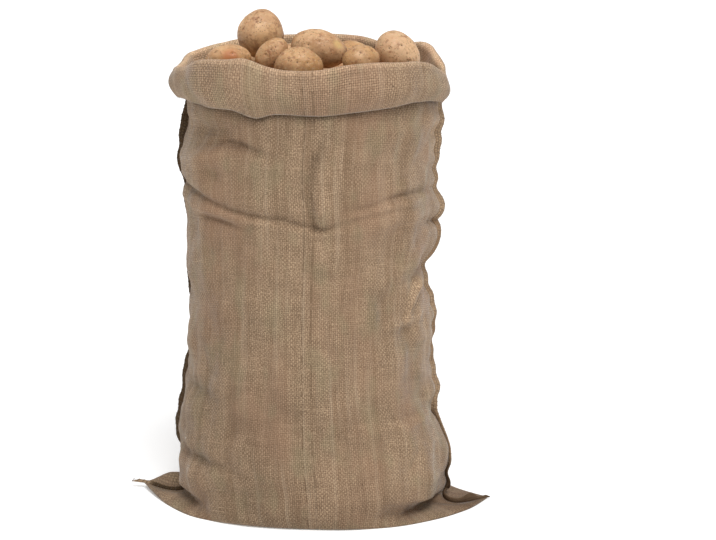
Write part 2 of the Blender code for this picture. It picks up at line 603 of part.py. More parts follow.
def make_filling(centres, shapes):
    """A closed lump that follows the sack's inside, its top hollowed under each potato."""
    turns = even_turns(FILLING_SIDES)
    rings = []
    for height in FILLING_RINGS:
        heights = np.full(FILLING_SIDES, height)
        inset = FILLING_INSET + FOOT_INSET * (1 - smooth_step(heights, 0.0, FOOT_HEIGHT))
        rings.append(wall_point(turns, heights) - outward(turns, heights) * inset[:, None])
    rim = rings[-1]
    middle = np.array([0.0, 0.0, FILLING_TOP])
    for k in range(1, FILLING_TOP_RINGS):
        ring = middle + (rim - middle) * (1 - k / FILLING_TOP_RINGS)
        ring[:, 2] = FILLING_TOP
        rings.append(ring)
    rings = np.array(rings)
    crown = len(FILLING_RINGS)
    places = np.concatenate([rings[crown - 1:].reshape(-1, 3), [middle]])
    for angle in np.arange(8) * np.pi / 4:
        aside = places[:, :2] + FILLING_REACH * np.array([np.cos(angle), np.sin(angle)])
        places[:, 2] = np.minimum(places[:, 2], lowest_reach(aside, centres, shapes) - GAP)
    rings[crown - 1:] = places[:-1].reshape(-1, FILLING_SIDES, 3)
    mesh = bmesh.new()
    grid = [[mesh.verts.new(p) for p in ring] for ring in rings]
    for lower, upper in zip(grid, grid[1:]):
        for j in range(FILLING_SIDES):
            k = (j + 1) % FILLING_SIDES
            mesh.faces.new([lower[j], lower[k], upper[k], upper[j]])
    top, bottom = mesh.verts.new(places[-1]), mesh.verts.new((0.0, 0.0, FILLING_FLOOR))
    for j in range(FILLING_SIDES):
        k = (j + 1) % FILLING_SIDES
        mesh.faces.new([grid[-1][j], grid[-1][k], top])
        mesh.faces.new([grid[0][k], grid[0][j], bottom])
    return finish(mesh, "potato_filling", "hidden load")


# ---- objects and materials ----

def material(name):
    made = bpy.data.materials.get(name)
    if made is None:
        colour, roughness = MATERIALS[name]
        made = bpy.data.materials.new(name)
        made.use_nodes = True
        shader = made.node_tree.nodes["Principled BSDF"]
        shader.inputs["Base Color"].default_value = (*colour, 1.0)
        shader.inputs["Roughness"].default_value = roughness
        shader.inputs["Metallic"].default_value = 0.0
        made.diffuse_color = (*colour, 1.0)
    return made


def finish(mesh, name, material_name):
    """Turn a bmesh into a named object of the scene."""
    data = bpy.data.meshes.new(name)
    mesh.to_mesh(data)
    mesh.free()
    data.materials.append(material(material_name))
    data.shade_smooth()
    made = bpy.data.objects.new(name, data)
    bpy.context.scene.collection.objects.link(made)
    return made


def clear_scene():
    for old in list(bpy.data.objects):
        bpy.data.objects.remove(old, do_unlink=True)


def main():
    clear_scene()
    rows, thickness = cloth_rows(even_turns(COLUMNS))
    make_cloth(rows, thickness)
    for side in SEAM_LEANS:
        make_seam(side, rows)
    centres, sizes, shapes = potato_layout()
    for number, (centre, size) in enumerate(zip(centres, sizes)):
        make_potato(number, centre, size, POTATOES["turned"][number], POTATOES["tipped"][number])
    make_filling(centres, shapes)


main()
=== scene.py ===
"""The looks of a filled hessian sack, standing with its mouth turned down outside as a cuff.

Metres, +Z up, front panel to -Y. A place on the cloth is given by its turn and its height:
turn -1 is the left seam, 0 the middle of the front, 1 the right seam, 2 the middle of the back
and 3 the left seam again.
"""

import math

import bmesh
import bpy
import numpy as np
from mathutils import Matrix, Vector
from mathutils.bvhtree import BVHTree


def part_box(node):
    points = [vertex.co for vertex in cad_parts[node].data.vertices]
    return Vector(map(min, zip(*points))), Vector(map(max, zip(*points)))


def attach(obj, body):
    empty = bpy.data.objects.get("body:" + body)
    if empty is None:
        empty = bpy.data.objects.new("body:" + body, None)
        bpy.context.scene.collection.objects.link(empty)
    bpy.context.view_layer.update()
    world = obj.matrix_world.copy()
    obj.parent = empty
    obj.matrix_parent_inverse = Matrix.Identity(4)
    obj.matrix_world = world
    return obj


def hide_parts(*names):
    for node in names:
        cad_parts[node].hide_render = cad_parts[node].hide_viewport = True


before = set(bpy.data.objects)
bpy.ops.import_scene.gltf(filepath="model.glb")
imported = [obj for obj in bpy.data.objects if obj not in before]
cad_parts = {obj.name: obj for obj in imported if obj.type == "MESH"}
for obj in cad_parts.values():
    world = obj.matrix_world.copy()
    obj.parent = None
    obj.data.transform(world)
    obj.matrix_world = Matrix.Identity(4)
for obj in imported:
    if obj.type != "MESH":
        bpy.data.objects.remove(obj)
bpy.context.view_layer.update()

UP = np.array([0.0, 0.0, 1.0])
SIDES = ("left", "right", "front", "back")
TURN_STEP = 0.02            # the step over which directions out of the sack are found

# ---- the sack's sizes ----
CLOTH = 0.0015              # thickness of the cloth
BASE_FOLD = 0.566           # length of the base fold, from one seam to the other
BASE_MIDDLE = 0.003         # where the middle of that fold lies along X
FOLD_INSET = 0.006          # the fold line stops this short of the ears' tips
PANEL_WIDTH = 0.57          # width of one panel between its seams
SQUARENESS = 2.35           # 2 would make the body's section an ellipse

SEAM_WIDTH = 0.013          # how far the two sewn selvedges stand out
SEAM_THICKNESS = 0.003
SEAM_TAILS = {"left": 0.022, "right": 0.004}    # how far each seam runs on past its ear
SEAM_TOP = 0.672            # the seams end out of sight under the cuff
TAIL_SLOPES = {"left": 0.1, "right": 0.0}   # how each tail rises to its tip
SEAM_TIP = 0.35             # the tail's tip, as a share of the seam's thickness and width
SEAM_TAPER = 0.014          # the seam reaches its full size this far from the tip

# ---- how finely the surfaces are divided ----
COLUMNS = 224
BASE_STATIONS = 200
FLOOR_ROWS = np.linspace(0.0, 1.0, 5)
FLARE_ROWS = np.linspace(0.05, 1.0, 22)
WALL_ROWS = 164
RIM_ROWS = 8
CUFF_ROWS = 20
ROW_STEPS = [(0.00, 0.0036), (0.44, 0.0052), (0.6, 0.0044), (0.63, 0.0026), (0.72, 0.0026),
             (0.75, 0.0044), (0.8, 0.0032), (0.93, 0.0032), (1.00, 0.005)]
STATION_STEP = 0.0025       # from one station of a seam to the next
TAIL_STATIONS = 7           # along its tail
SEAM_SIDES = 12             # points round the seam's flattened section
FINENESS = 5                # how often a potato's ball is divided
FRONT_FINENESS = 6
LOWER_FINENESS = 4
ROUNDS = 30                 # how often a solid's coarse faces are smoothed on the way
FRONT_ROUNDS = 110


def table(columns, rows):
    """A table as one array for each named column. Columns marked mm are turned into metres."""
    named = {}
    for column, values in zip(columns.split(), np.array(rows, float).T):
        name, _, in_mm = column.partition(":")
        named[name] = values / 1000 if in_mm else values
    return named


# The body's outline at several heights, and how far it reaches to the front and the back.
SECTIONS = table("height:mm left:mm right:mm front:mm back:mm", [
    (0, -197, 207, 164, 162), (50, -210, 210, 168, 167), (110, -216, 206, 169, 168),
    (180, -204, 192, 167, 165), (270, -195, 184, 165, 163), (380, -193, 184, 164, 163),
    (480, -194, 192, 165, 164), (560, -195, 188, 165, 164), (640, -192, 194, 163, 163),
    (750, -206, 201, 160, 162)])

# How far the cloth lies out from the base fold before it turns up, across the sack.
BASE = table("across front:mm back:mm", [
    (-1, 0, 0), (-0.93, 32, 26), (-0.8, 80, 56), (-0.66, 119, 98), (-0.52, 139, 138), (-0.35, 152, 156),
    (0, 161, 162), (0.35, 152, 152), (0.52, 137, 136), (0.66, 114, 94), (0.82, 77, 36), (0.93, 39, 12),
    (1, 0, 0)])

EAR_RAISE = {"left": 0.008, "right": 0.001}     # how high each ear's tip is off the floor
EAR_FROM = 0.8              # where across the base each ear starts to rise

# How the cloth comes off the floor: it first leans out and lifts, keeps low, then joins the wall.
# It is tucked in under the body on the way, and bowed to the front.
FLARE = table("turn out:mm lift:mm low:mm height:mm tuck:mm bow:mm", [
    (-1, 0, 2, 1, 14, 2, 30), (-0.93, -4, 14, 3, 24, 24, 26), (-0.8, -6, 20, 3, 34, 40, 10),
    (-0.66, -6, 12, 3, 40, 26, 0), (-0.5, 6, 8, 10, 46, 6, 0), (0, 9, 3, 18, 50, 0, 0),
    (0.3, 8, 6, 14, 48, 4, 0), (0.45, 0, 8, 4, 38, 24, 0), (0.62, -16, 8, 2, 31, 48, 0),
    (0.8, -18, 10, 2, 26, 50, 0), (0.92, -6, 10, 2, 21, 34, 22), (1, 0, 6, 1, 16, -6, 42),
    (1.08, 0, 6, 1, 18, -4, 14), (1.25, 0, 4, 2, 34, 6, 0), (1.5, 8, 6, 16, 50, 0, 0),
    (2, 9, 3, 18, 50, 0, 0), (2.5, 8, 6, 18, 50, 0, 0), (2.7, 4, 17, 7, 48, 0, 0),
    (2.85, 0, 9, 6, 16, -2, 0), (2.94, 0, 25, 10, 16, -2, 8)])

# The top of the turned rim, and the hem below it.
RIM_LINE = table("turn height:mm", [
    (-1, 703), (-0.7, 711), (-0.44, 730), (-0.3, 733), (-0.2, 735), (-0.13, 727.5), (-0.04, 720.5),
    (0.08, 721.5), (0.18, 727), (0.27, 730), (0.47, 728.5), (0.6, 726.5), (0.72, 720), (0.86, 703),
    (1, 685), (1.2, 706), (1.43, 727), (1.62, 719), (1.85, 729), (2.2, 729), (2.5, 722), (2.8, 710)])
HEM_LINE = table("turn height:mm", [
    (-1, 660), (-0.7, 661.6), (-0.44, 658.4), (-0.35, 659), (-0.284, 657.7), (-0.244, 653.3),
    (-0.205, 649.4), (-0.165, 647.6), (-0.133, 650.3), (-0.094, 653.8), (-0.053, 654.2), (0, 653),
    (0.052, 652.4), (0.18, 654.8), (0.32, 659), (0.47, 663.8), (0.58, 665.8), (0.7, 665), (1, 651.4),
    (1.2, 654), (1.43, 656), (1.62, 655), (1.85, 652), (2.2, 656), (2.5, 660), (2.8, 664)])

# How far the cuff stands off the wall: its roll at the rim, its bulge and its hem.
CUFF = table("turn roll:mm bulge:mm hem_out:mm", [
    (-1, 5.5, 19, 11), (-0.7, 6.5, 18, 6), (-0.44, 10, 24, 5), (-0.2, 12, 30, 8), (-0.04, 12, 28, 5),
    (0.18, 12, 27, 5), (0.47, 11, 25, 5), (0.7, 8, 20, 6), (1, 5.5, 16, 9), (1.2, 6, 18, 10),
    (1.62, 8.5, 22, 10), (2, 10, 25, 11), (2.5, 8, 22, 10), (2.8, 6, 18, 10)])

# Where the mouth is drawn in or pushed out, at the rim.
MOUTH_PUSH = table("turn push:mm", [
    (-1, 2), (-0.6, 0), (0, 0), (0.6, 0), (1, 5), (1.22, 2), (1.43, 4), (1.6, -12), (1.8, 0), (2.4, 0)])
PUSH_START, PUSH_END = 0.64, 0.73       # the push grows from nothing to its full size
HIDDEN_TO = 0.675           # above this the wall's outside is hidden, and its inside may show
HIDDEN_FADE = 0.02          # the inside's painted light grows in over this height
FOLDS_GROW = 0.02           # the wall's folds have their full depth this far over the floor

# Folds in the wall: a width, then the line each follows as turn, height and depth.
# Widths, heights and depths are in mm. A depth above zero stands out and one below zero sinks in.
WALL_FOLDS = {
    "long crease": (6, [
        (-1.15, 528, 0), (-0.93, 526, -8), (-0.75, 523.5, -10), (-0.575, 521.7, -9), (-0.474, 516, -7),
        (-0.4, 508, -5), (-0.33, 504, -5), (-0.243, 500.8, -5), (-0.151, 497.8, -5),
        (-0.047, 492.5, -5), (0, 485, -7), (0.03, 480.7, -7), (0.087, 479, -6), (0.148, 481.7, -3),
        (0.2, 483, 0)]),
    "ridge under the long crease": (5.5, [
        (-1, 508, 0), (-0.823, 502, 3), (-0.453, 498.5, 4), (-0.269, 492, 3), (-0.16, 488, 3),
        (-0.027, 480, 3), (0.079, 472.5, 3), (0.22, 476.5, 1.5), (0.396, 480, 1.5), (0.601, 487.5, 1.5),
        (0.966, 476, 1.5), (1.1, 474, 0)]),
    "groove under the ridge": (5.5, [
        (-0.65, 492, 0), (-0.535, 488.7, -4), (-0.374, 483.5, -6), (-0.268, 478, -4), (-0.18, 474, 0)]),
    "swelling over the long crease": (16, [(-0.75, 545, 3), (-0.45, 535, 5), (-0.2, 519, 5), (0, 506, 3)]),
    "long crease, right": (6.5, [
        (0.1, 494, 0), (0.226, 507.8, -3), (0.376, 513.7, -3), (0.552, 523.3, -9), (0.769, 522.7, -5),
        (1, 514.9, -2), (1.15, 510, 0)]),
    "middle ridge, right": (5.5, [
        (0.15, 492, 0), (0.224, 498.9, 1), (0.401, 506.8, 1), (0.573, 513, 1), (0.821, 510, 1),
        (0.95, 506, 0)]),
    "lower groove, right": (5.5, [
        (0.13, 485, 0), (0.196, 489.3, -2), (0.368, 497, -3), (0.525, 502.5, -3), (0.708, 500, -2),
        (0.9, 493, 0)]),
    "hollow under the creases": (28, [(0.2, 440, 0), (0.45, 445, -4), (0.7, 450, -2)]),
    "roll at the right seam": (13, [
        (0.6, 497, 0), (0.85, 492, 5), (1, 486, 11), (1.2, 480, 4), (1.35, 480, 0)]),
    "pinch below the roll": (7, [(0.8, 468, 0), (0.95, 466, -5), (1.02, 461, -8), (1.2, 458, 0)]),
    "sunk band under the cuff": (16, [
        (-0.95, 625, -4), (-0.7, 617, -10), (-0.572, 618, -13), (-0.409, 621, -13), (-0.299, 620, -10),
        (-0.21, 613, -7), (-0.146, 602, -4), (0, 600, 0)]),
    "lower lip of the sunk band": (6, [
        (-0.65, 593, 0), (-0.5, 598, -5), (-0.357, 605.5, -9), (-0.272, 603.5, -10), (-0.195, 597, -8),
        (-0.126, 590, -5), (-0.05, 586, 0)]),
    "swelling below the band": (16, [
        (-1, 568, 5), (-0.653, 573.6, 11), (-0.488, 580, 13), (-0.334, 584, 6), (-0.256, 579, 2),
        (-0.15, 572, 0)]),
    "upright crease": (5.5, [
        (0.1, 640, 0), (0.085, 620, -4), (0.082, 600.4, -6), (0.072, 585.7, -11), (0.054, 570.6, -9),
        (0.045, 540, -6), (0.042, 500.9, -7), (0.061, 480.6, -5)]),
    "swelling by the upright crease": (11.5, [
        (0.1, 545, 0), (0.09, 532, 5), (0.085, 516, 12), (0.094, 500, 11)]),
    "swelling over the left end of the crease": (20, [(-1.3, 548, 0), (-1, 548, 6), (-0.8, 546, 3)]),
    "crease end at the left seam": (16, [(-1.2, 508, 0), (-1, 506, -5), (-0.85, 508, 0)]),
    "shoulder under the cuff": (19, [
        (0.72, 640, 0), (0.88, 632, 8), (1, 625, 10), (1.05, 580, 5), (1.2, 575, 0)]),
    "drawn in under the cuff's left end": (12, [
        (-1.08, 648, 0), (-0.95, 648, -6), (-0.78, 650, -7), (-0.55, 655, 0)]),
    "hollow behind the hem": (9.5, [
        (-1, 664, -2), (-0.44, 660, -3), (-0.2, 653, -4), (-0.04, 656, -3), (0.2, 657, -3),
        (0.6, 666, -3), (0.75, 664, -2), (1, 656, 0), (1.5, 658, -5), (2, 655, -6), (2.6, 662, -6)]),
    "waist at the right seam": (16, [
        (0.38, 356, -2), (0.6, 384, -6), (0.8, 396, -10), (1, 394, -10), (1.25, 388, -8),
        (1.55, 392, 0)]),
    "swelling under the waist": (45, [(0.85, 290, 2), (1, 289, 11.5), (1.2, 290, 2)]),
    "swelling on the left": (30, [(-1.2, 335, 1), (-1, 335, 5), (-0.85, 335, 1)]),
    "swelling low on the left": (20, [(-1.2, 205, 1), (-1, 205, 6), (-0.85, 205, 1)]),
    "swelling over the waist": (22, [(0.7, 430, 1), (1, 432, 5), (1.3, 430, 2)]),
    "ridge down from the waist": (7, [
        (1.02, 384, 0), (0.8, 379, 8), (0.747, 373.5, 10), (0.68, 356.5, 10), (0.653, 325.9, 5)]),
    "hollow beside the waist": (14, [(0.4, 375, -5), (0.44, 345, -7), (0.48, 310, -5), (0.42, 290, -3)]),
    "second ridge": (7, [(0.853, 329, 2), (0.675, 322.5, 5), (0.5, 318.4, 3), (0.44, 316, 0)]),
    "small fold under it": (8, [(0.45, 304, 0), (0.73, 308, -2), (0.95, 316, -1)]),
    "swelling over the low notch": (14, [(0.8, 190, 1), (1, 184, 4), (1.2, 184, 0)]),
    "notch low at the right seam": (10, [(0.8, 165, 0), (1, 153, -7), (1.25, 156, 0)]),
    "left pinch": (9, [
        (-1.2, 214, 0), (-0.95, 212, -5), (-0.66, 209.5, -5), (-0.434, 198, -4), (-0.33, 190, 0)]),
    "hollow below the pinch": (12, [(-0.333, 190, -1), (-0.295, 148.5, -5), (-0.29, 125, -1)]),
    "lower left crease": (10, [
        (-1.1, 98, 0), (-0.88, 97, -4), (-0.721, 97, -9), (-0.493, 94.9, -9), (-0.36, 91.5, -6),
        (-0.25, 89, 0)]),
    "swelling under it": (18, [(-0.8, 64, 1), (-0.6, 62, 5), (-0.35, 60, 2)]),
    "corner over the left ear": (15, [(-0.9, 40, 4), (-0.76, 32, 11), (-0.6, 30, 7)]),
    "hollow over the left ear": (20, [(-1.3, 50, 0), (-1.02, 46, -14), (-0.9, 48, -8)]),
    "ridge at the lower right": (5.5, [
        (1.05, 155, 2), (0.796, 160, 3), (0.605, 157.5, 3), (0.391, 160, 2), (0.302, 155, 0.5),
        (0.2, 152, 0)]),
    "groove over it": (8, [(1.03, 171, -2), (0.8, 174, -2.5), (0.6, 171, -2), (0.4, 172, -0.5)]),
    "belly at the lower right": (28, [(0.56, 137, 3), (0.66, 100, 8), (0.7, 60, 9), (0.66, 30, 6)]),
    "belly at the right seam": (26, [(0.9, 125, 4), (0.97, 100, 13), (1.01, 66, 12), (1.01, 36, 12)]),
    "swelling behind the lower right seam": (28, [(1.2, 110, 2), (1.22, 64, 3), (1.22, 40, 3)]),
    "back crease, high": (11, [
        (1.3, 535, 0), (1.65, 520, -6), (2.1, 535, -7), (2.5, 520, -5), (2.8, 525, 0)]),
    "ridge under the back crease": (8, [
        (1.4, 515, 0), (1.65, 502, 3), (2.1, 515, 4), (2.5, 502, 3), (2.7, 503, 0)]),
    "back crease, low": (12, [(1.4, 262, 0), (1.75, 245, -6), (2.2, 232, -4), (2.45, 240, 0)]),
    "back swelling": (45, [(1.7, 380, 0), (2, 390, 5), (2.4, 370, 2)]),
    "back upright crease": (8, [(2.12, 630, 0), (2.1, 560, -6), (2.16, 470, -3)]),
    "back slant": (9, [(2.75, 150, 0), (2.5, 120, -5), (2.2, 105, -4), (2, 108, 0)]),
    "left waist": (16, [(2.55, 345, 0), (2.8, 338, -6), (3.05, 345, -4), (3.3, 350, 0)]),
}

# Folds in the turned-down cuff, in the same terms.
CUFF_FOLDS = {
    "dip by the middle": (20, [(0, 710, -4), (0.04, 680, -3)]),
    "hollow near the left end": (18, [(-0.62, 700, -3), (-0.55, 680, -2)]),
    "lift near the right end": (20, [(0.8, 690, 3), (0.9, 675, 4)]),
    "back dip": (22, [(1.62, 700, -5), (1.6, 670, -3)]),
    "back hollow": (22, [(2.3, 700, -4), (2.35, 670, -2)]),
}

# The slack cloth's small unevenness: the length and size of each kind of ripple.
RIPPLES = [(0.11, 0.0011), (0.055, 0.0006), (0.028, 0.00022)]
RIPPLES_OF_EACH = 7
CUFF_RIPPLES_FROM = 1.4     # the cuff's ripples are read downward from here, as it is turned over
BOW_SHAPE = 27 / 4          # makes the bow's greatest reach its own size
PUCKER_LENGTH = 0.031       # the seams' stitches draw the cloth up in puckers this far apart
PUCKER_SIZE = 0.0012
PUCKER_REACH = 0.016        # how far from the seam they fade
PUCKER_BEAT = 23            # how fast their size changes up the seam

# Patches painted paler (above zero) or darker (below), and how far each reaches round the sack and up it,
# and its strength: painted light on lit edges, ridges and the cuff's ends, painted shade in hollows, under
# the cuff, inside the mouth by the rim and in the ears' valleys, and darker towards the foot.
WALL_TONES = table("turn height:mm wide tall:mm tone", [
    (-0.55, 625, 0.35, 22, -0.35), (-0.75, 572, 0.22, 18, 0.55), (-0.8, 625, 0.14, 30, 0.9),
    (0.94, 605, 0.12, 60, 1.6), (1.02, 640, 0.1, 50, 1.3), (0.35, 635, 0.5, 16, 0.6),
    (0.77, 376, 0.06, 6, 1.2), (0.7, 362, 0.04, 9, 1.2), (0.665, 340, 0.03, 12, 1.2),
    (0.74, 326, 0.1, 5, 1), (0.09, 515, 0.07, 28, 0.35), (0.62, 560, 0.2, 50, 0.2),
    (-0.1, 545, 0.16, 50, -0.3), (0.45, 320, 0.1, 30, -0.9), (0.4, 370, 0.05, 20, -0.8),
    (0.7, 200, 0.16, 100, -0.4), (0.85, 310, 0.12, 60, 0.35), (-0.6, 300, 0.3, 130, -0.6),
    (-0.32, 240, 0.28, 260, -0.7), (-0.62, 150, 0.34, 75, -0.85), (-0.15, 90, 0.12, 90, -0.8),
    (0.66, 110, 0.14, 40, 0.35), (0.92, 70, 0.08, 50, 0.35), (0.2, 250, 0.3, 80, -0.1),
    (0.15, 170, 0.4, 60, -0.5), (0, 5, 1.1, 55, -1.6), (1.6, 60, 0.8, 80, -0.5),
    (2.2, 450, 0.5, 100, 0.25), (1.08, 688, 0.16, 6, -6), (1.5, 716, 0.06, 12, -4.5),
    (-0.95, 688, 0.2, 8, -3), (-1, 6, 0.14, 6, -1.5), (0.96, 6, 0.14, 10, -2)])
CUFF_TONES = table("turn height:mm wide tall:mm tone", [
    (0.86, 704, 0.14, 8, 1), (-0.75, 690, 0.2, 30, -0.3), (-1.02, 685, 0.12, 35, 0.4),
    (1.05, 690, 0.12, 35, 1), (0, 690, 0.45, 25, 0.25), (1, 690, 4, 200, 0.25),
    (-0.1, 660, 0.6, 14, -0.45), (0.4, 715, 0.25, 18, 0.25), (0.85, 690, 0.2, 30, 0.35)])
# Painted light on the inside of the mouth, where it shows, for each turn.
INSIDE_PAINTED_LIGHT = table("turn tone", [
    (-1, 4.5), (-0.6, 2.5), (0, 0.6), (0.7, 1.6), (1, 4), (1.35, 4), (1.6, 1.6), (2, 1.2), (2.4, 2.6),
    (2.8, 4.5)])
TONE_STRENGTH = 0.16        # how much paler or darker a tone of one makes the yarns
RIM_WEAR_AND_HIGHLIGHT, RIM_TALL = 3.4, 0.005         # the rim's crest is painted pale, as wear and as a highlight, this far down
HEM_SHADE, HEM_SHADE_TALL = -3.2, 0.005   # painted shade on the wall where the hem hangs, and below it
FOLD_LIGHT_AND_SHADE = 130            # tone per metre of depth: painted highlight on crests and painted shade in troughs
NARROW_FOLD = 10            # folds no wider than this, in mm, show it

# How each seam leans along its length: 0 straight out of the wall, above zero to the back.
SEAM_LEANS = {
    "left": table("height:mm lean", [
        (0, 34), (12, 34), (30, 78), (60, 66), (100, 50), (140, 36), (200, 54), (240, 74), (300, 76),
        (360, 74), (420, 78), (470, 74), (495, 40), (540, 32), (570, 42), (620, 28), (660, 28),
        (700, 40)]),
    "right": table("height:mm lean", [
        (0, -10), (12, -30), (22, -42), (35, -58), (60, -60), (80, -58), (100, -56), (140, -46),
        (165, 10), (190, 48), (240, 62), (290, 58), (340, 64), (390, 60), (440, 62), (480, 56),
        (530, 64), (580, 50), (640, 62), (700, 60)]),
}

# How much of its full width each seam stands out over the ear, from its tail on.
SEAM_SHARES = {
    "left": table("along:mm share", [
        (0, 0.25), (10, 0.35), (24, 0.3), (40, 0.5), (100, 0.5), (125, 1)]),
    "right": table("along:mm share", [
        (0, 0.5), (8, 0.45), (18, 0.32), (28, 0.38), (38, 0.9), (46, 1.45), (54, 1.35), (63, 0.8),
        (85, 0.9), (105, 0.8), (125, 0.8), (150, 0.9), (180, 0.85), (200, 0.6), (240, 0.6), (265, 1)]),
}
SEAM_WAVES = [(46.0, 4.0), (97.0, 3.0), (171.0, 2.0)]   # radians per metre, degrees of lean
WIDTH_WAVES = [(61, 0.08, 0), (139, 0.05, 1)]           # radians per metre, share of the width, shift
SEAM_SMOOTHING = {"normals": 6, "tangents": 4, "edge": 3}       # stations to each side
SEAM_SQUARENESS = (0.6, 0.7)            # below 1 the seam's section is squarer than an ellipse
SEAM_TAUT = {"left": 16, "right": 4}    # stations over which each seam's edge is drawn straight
FLOOR_ROOM = 0.0005         # the lowest that the thin pieces lie over the floor
STITCH_PITCH = 0.0085       # between the turns of twine over the seam's edge
TWINE = 0.0009              # the twine's thickness
TWINE_STEPS = 14            # points in each turn of the twine
TWINE_MIDDLE, TWINE_REACH = 0.56, 0.48  # where its turns lie across the seam, as a share of it
TWINE_STRAY = 0.2           # how unevenly they follow each other, in radians
HEM_PITCH = 0.013           # from one stitch of the hem to the next
HEM_STITCH = 0.0085         # length of a stitch
HEM_THREAD = 0.001          # thickness of its thread
HEM_UP = 0.15               # how far up the cuff the stitches run, as a share of it
HEM_END = 0.012             # no stitch starts closer than this to the end of the round
HEM_ARCH, HEM_SUNK = 0.0008, 0.0002     # how high each arches, and how deep its ends lie
FIBRES = 900                # loose fibres over the cloth
FIBRES_AT_HEM = 0.35        # the share of them along the hem
FIBRE_LENGTHS = (0.004, 0.013)
FIBRE_RADII = (0.00012, 0.00006)        # at the root and at the tip
FIBRE_POINTS = 5
FIBRE_ROOM = 0.0004         # the lowest that fibres lie over the floor

# Lumps of the potatoes: how far each wave turns from the middle to the skin, and its size.
LUMPS = [(3.0, 0.01), (6.5, 0.005), (14.0, 0.0022)]
LUMPS_OF_EACH = 4
EYE_DEPTH, BROW_HEIGHT = 0.0011, 0.0004
EYE_SPIRAL = 2.4            # radians from one eye to the next
RIPPLE_SEED, FIBRE_SEED, LOWER_SEED, FIRST_POTATO_SEED = 11, 3, 5, 100

# The lower layer: potatoes set out in rows, each pressed up under those that lie over it.
LOWER_PITCHES = (0.058, 0.066)          # between the potatoes of its two levels
LOWER_ACROSS = {"x": (-0.17, 0.18), "y": (-0.13, 0.14)}
ROWS_CLOSER = 0.87          # between rows, as a share of what is between two of a row
LOWER_SIZE = np.array([0.034, 0.027, 0.025])
LOWER_SPREAD = 0.006        # how far each may lie from its even place
LOWER_ROOM = 0.04           # between a potato's middle and the wall
LOWER_WALL = 0.66           # the height at which the wall is taken
LOWER_TOP = 0.7             # none rises above this
LOWER_RING = 0.016          # those above are felt for over a ring of this reach
LEVEL_DROP = 0.045          # from the upper level to the lower one

# How tan (above zero) or pale (below) each front potato's skin is, and how much darker its underside is,
# with dirt and painted shade.
POTATO_SKINS = {0: (-0.45, 0.75), 1: (0.2, 0.35), 2: (0.05, 0.35), 3: (0.05, 0.6),
                4: (0.45, 0.45), 5: (0.1, 0.3), 6: (-0.9, 0.2)}
OTHER_SKIN = (0.15, 0.55)
# Single marks: which potato has each, its direction from the potato's middle, and its reach.
POTATO_MARKS = {"blush": (1, (0.18, -0.92, 0.26), 0.6), "scuff": (3, (0.86, -0.46, 0.26), 0.22)}
# Eyes that show, by potato: the direction of each from the middle, and its size.
FRONT_EYES = {
    0: [(-0.13, -0.68, 0.73, 0.09), (-0.02, -0.61, 0.8, 0.1), (0.11, -0.68, 0.73, 0.08),
        (0.07, -0.78, 0.62, 0.1), (-0.08, -0.77, 0.63, 0.08), (-0.65, -0.68, 0.33, 0.12),
        (-0.5, -0.5, 0.72, 0.07)],
    1: [(-0.78, -0.52, 0.42, 0.13), (0.34, -0.86, 0.46, 0.12)],
    2: [(0.1, -0.85, 0.5, 0.15), (0.38, -0.7, 0.6, 0.13), (-0.3, -0.9, 0.1, 0.1)],
    3: [(-0.45, -0.8, 0.3, 0.1), (0.1, -0.85, 0.52, 0.09)],
    4: [(0.05, -0.9, 0.35, 0.14), (-0.4, -0.8, 0.4, 0.1), (0.55, -0.75, 0.3, 0.1)],
    5: [(0.00, -0.8, 0.6, 0.16), (0.55, -0.75, 0.15, 0.09)],
    6: [(0.55, -0.78, -0.2, 0.11), (-0.3, -0.85, 0.4, 0.09), (0.25, -0.8, 0.55, 0.08)],
}

# ---- the studio ----
SKY_STRENGTH = 0.43
FLOOR_GLOW = 0.24           # lifts the floor's shade to white
KEY_STRENGTH = 2.42
KEY_SPREAD = math.radians(34)
KEY_FROM = (0.24, -0.7, 1.42)
WHITE = (1.0, 1.0, 1.0, 1.0)
FLOOR_COLOUR = (0.93, 0.93, 0.93, 1.0)
CAMERA_PLACE = (0.3374, -2.982, 1.128)
CAMERA_DOWN, CAMERA_LEFT = 14.06, 5.04  # degrees that the camera looks down and to the left
CAMERA_LENS = 97.6

# ---- the weave ----
WARP_PITCH = 0.003
WEFT_PITCH = 0.0032
SELVEDGE_PITCH = 0.0024
DARK_WARPS = [(0.2942, 0.6), (0.308, 0.5), (0.3585, 0.18)]  # place across, strength
WEFT_PAINTED_SHADE = 0.24          # painted shade: the weft lies lower and is painted darker than the warp
YARN_HALF_WIDTH = 0.43      # as a share of the pitch, so the weave has small holes
SLUBS = 0.3                 # how far the yarns' width varies, as a share of the pitch
WAVER = 1.6                 # how many pitches the yarns wander
CUFF_ALONG = (0.79, 0.81)   # how far along the cloth the cuff starts, where the weave shows more with deeper painted shade in its holes
CUFF_HOLE_SHADE = 1.55
JUTE_COLOURS = ((0.235, 0.156, 0.096), (0.48, 0.338, 0.218))    # the darkest and palest yarns
# Its stains, in order: the noise's stretch, scale and detail, where the stain starts and is full,
# its strength and its colour. Soiled streaks, pale streaks, brown patches and greenish ones.
JUTE_STAINS = [
    ((66.0, 2.2, 1.0), 1.0, 3.0, 0.42, 0.68, 0.4, (0.215, 0.132, 0.076)),
    ((120.0, 3.6, 1.0), 1.0, 2.0, 0.5, 0.72, 0.28, (0.52, 0.4, 0.28)),
    ((9.0, 5.0, 1.0), 1.0, 2.0, 0.42, 0.7, 0.42, (0.35, 0.205, 0.13)),
    ((17.0, 8.0, 1.0), 1.7, 2.0, 0.5, 0.7, 0.28, (0.29, 0.255, 0.15)),
]

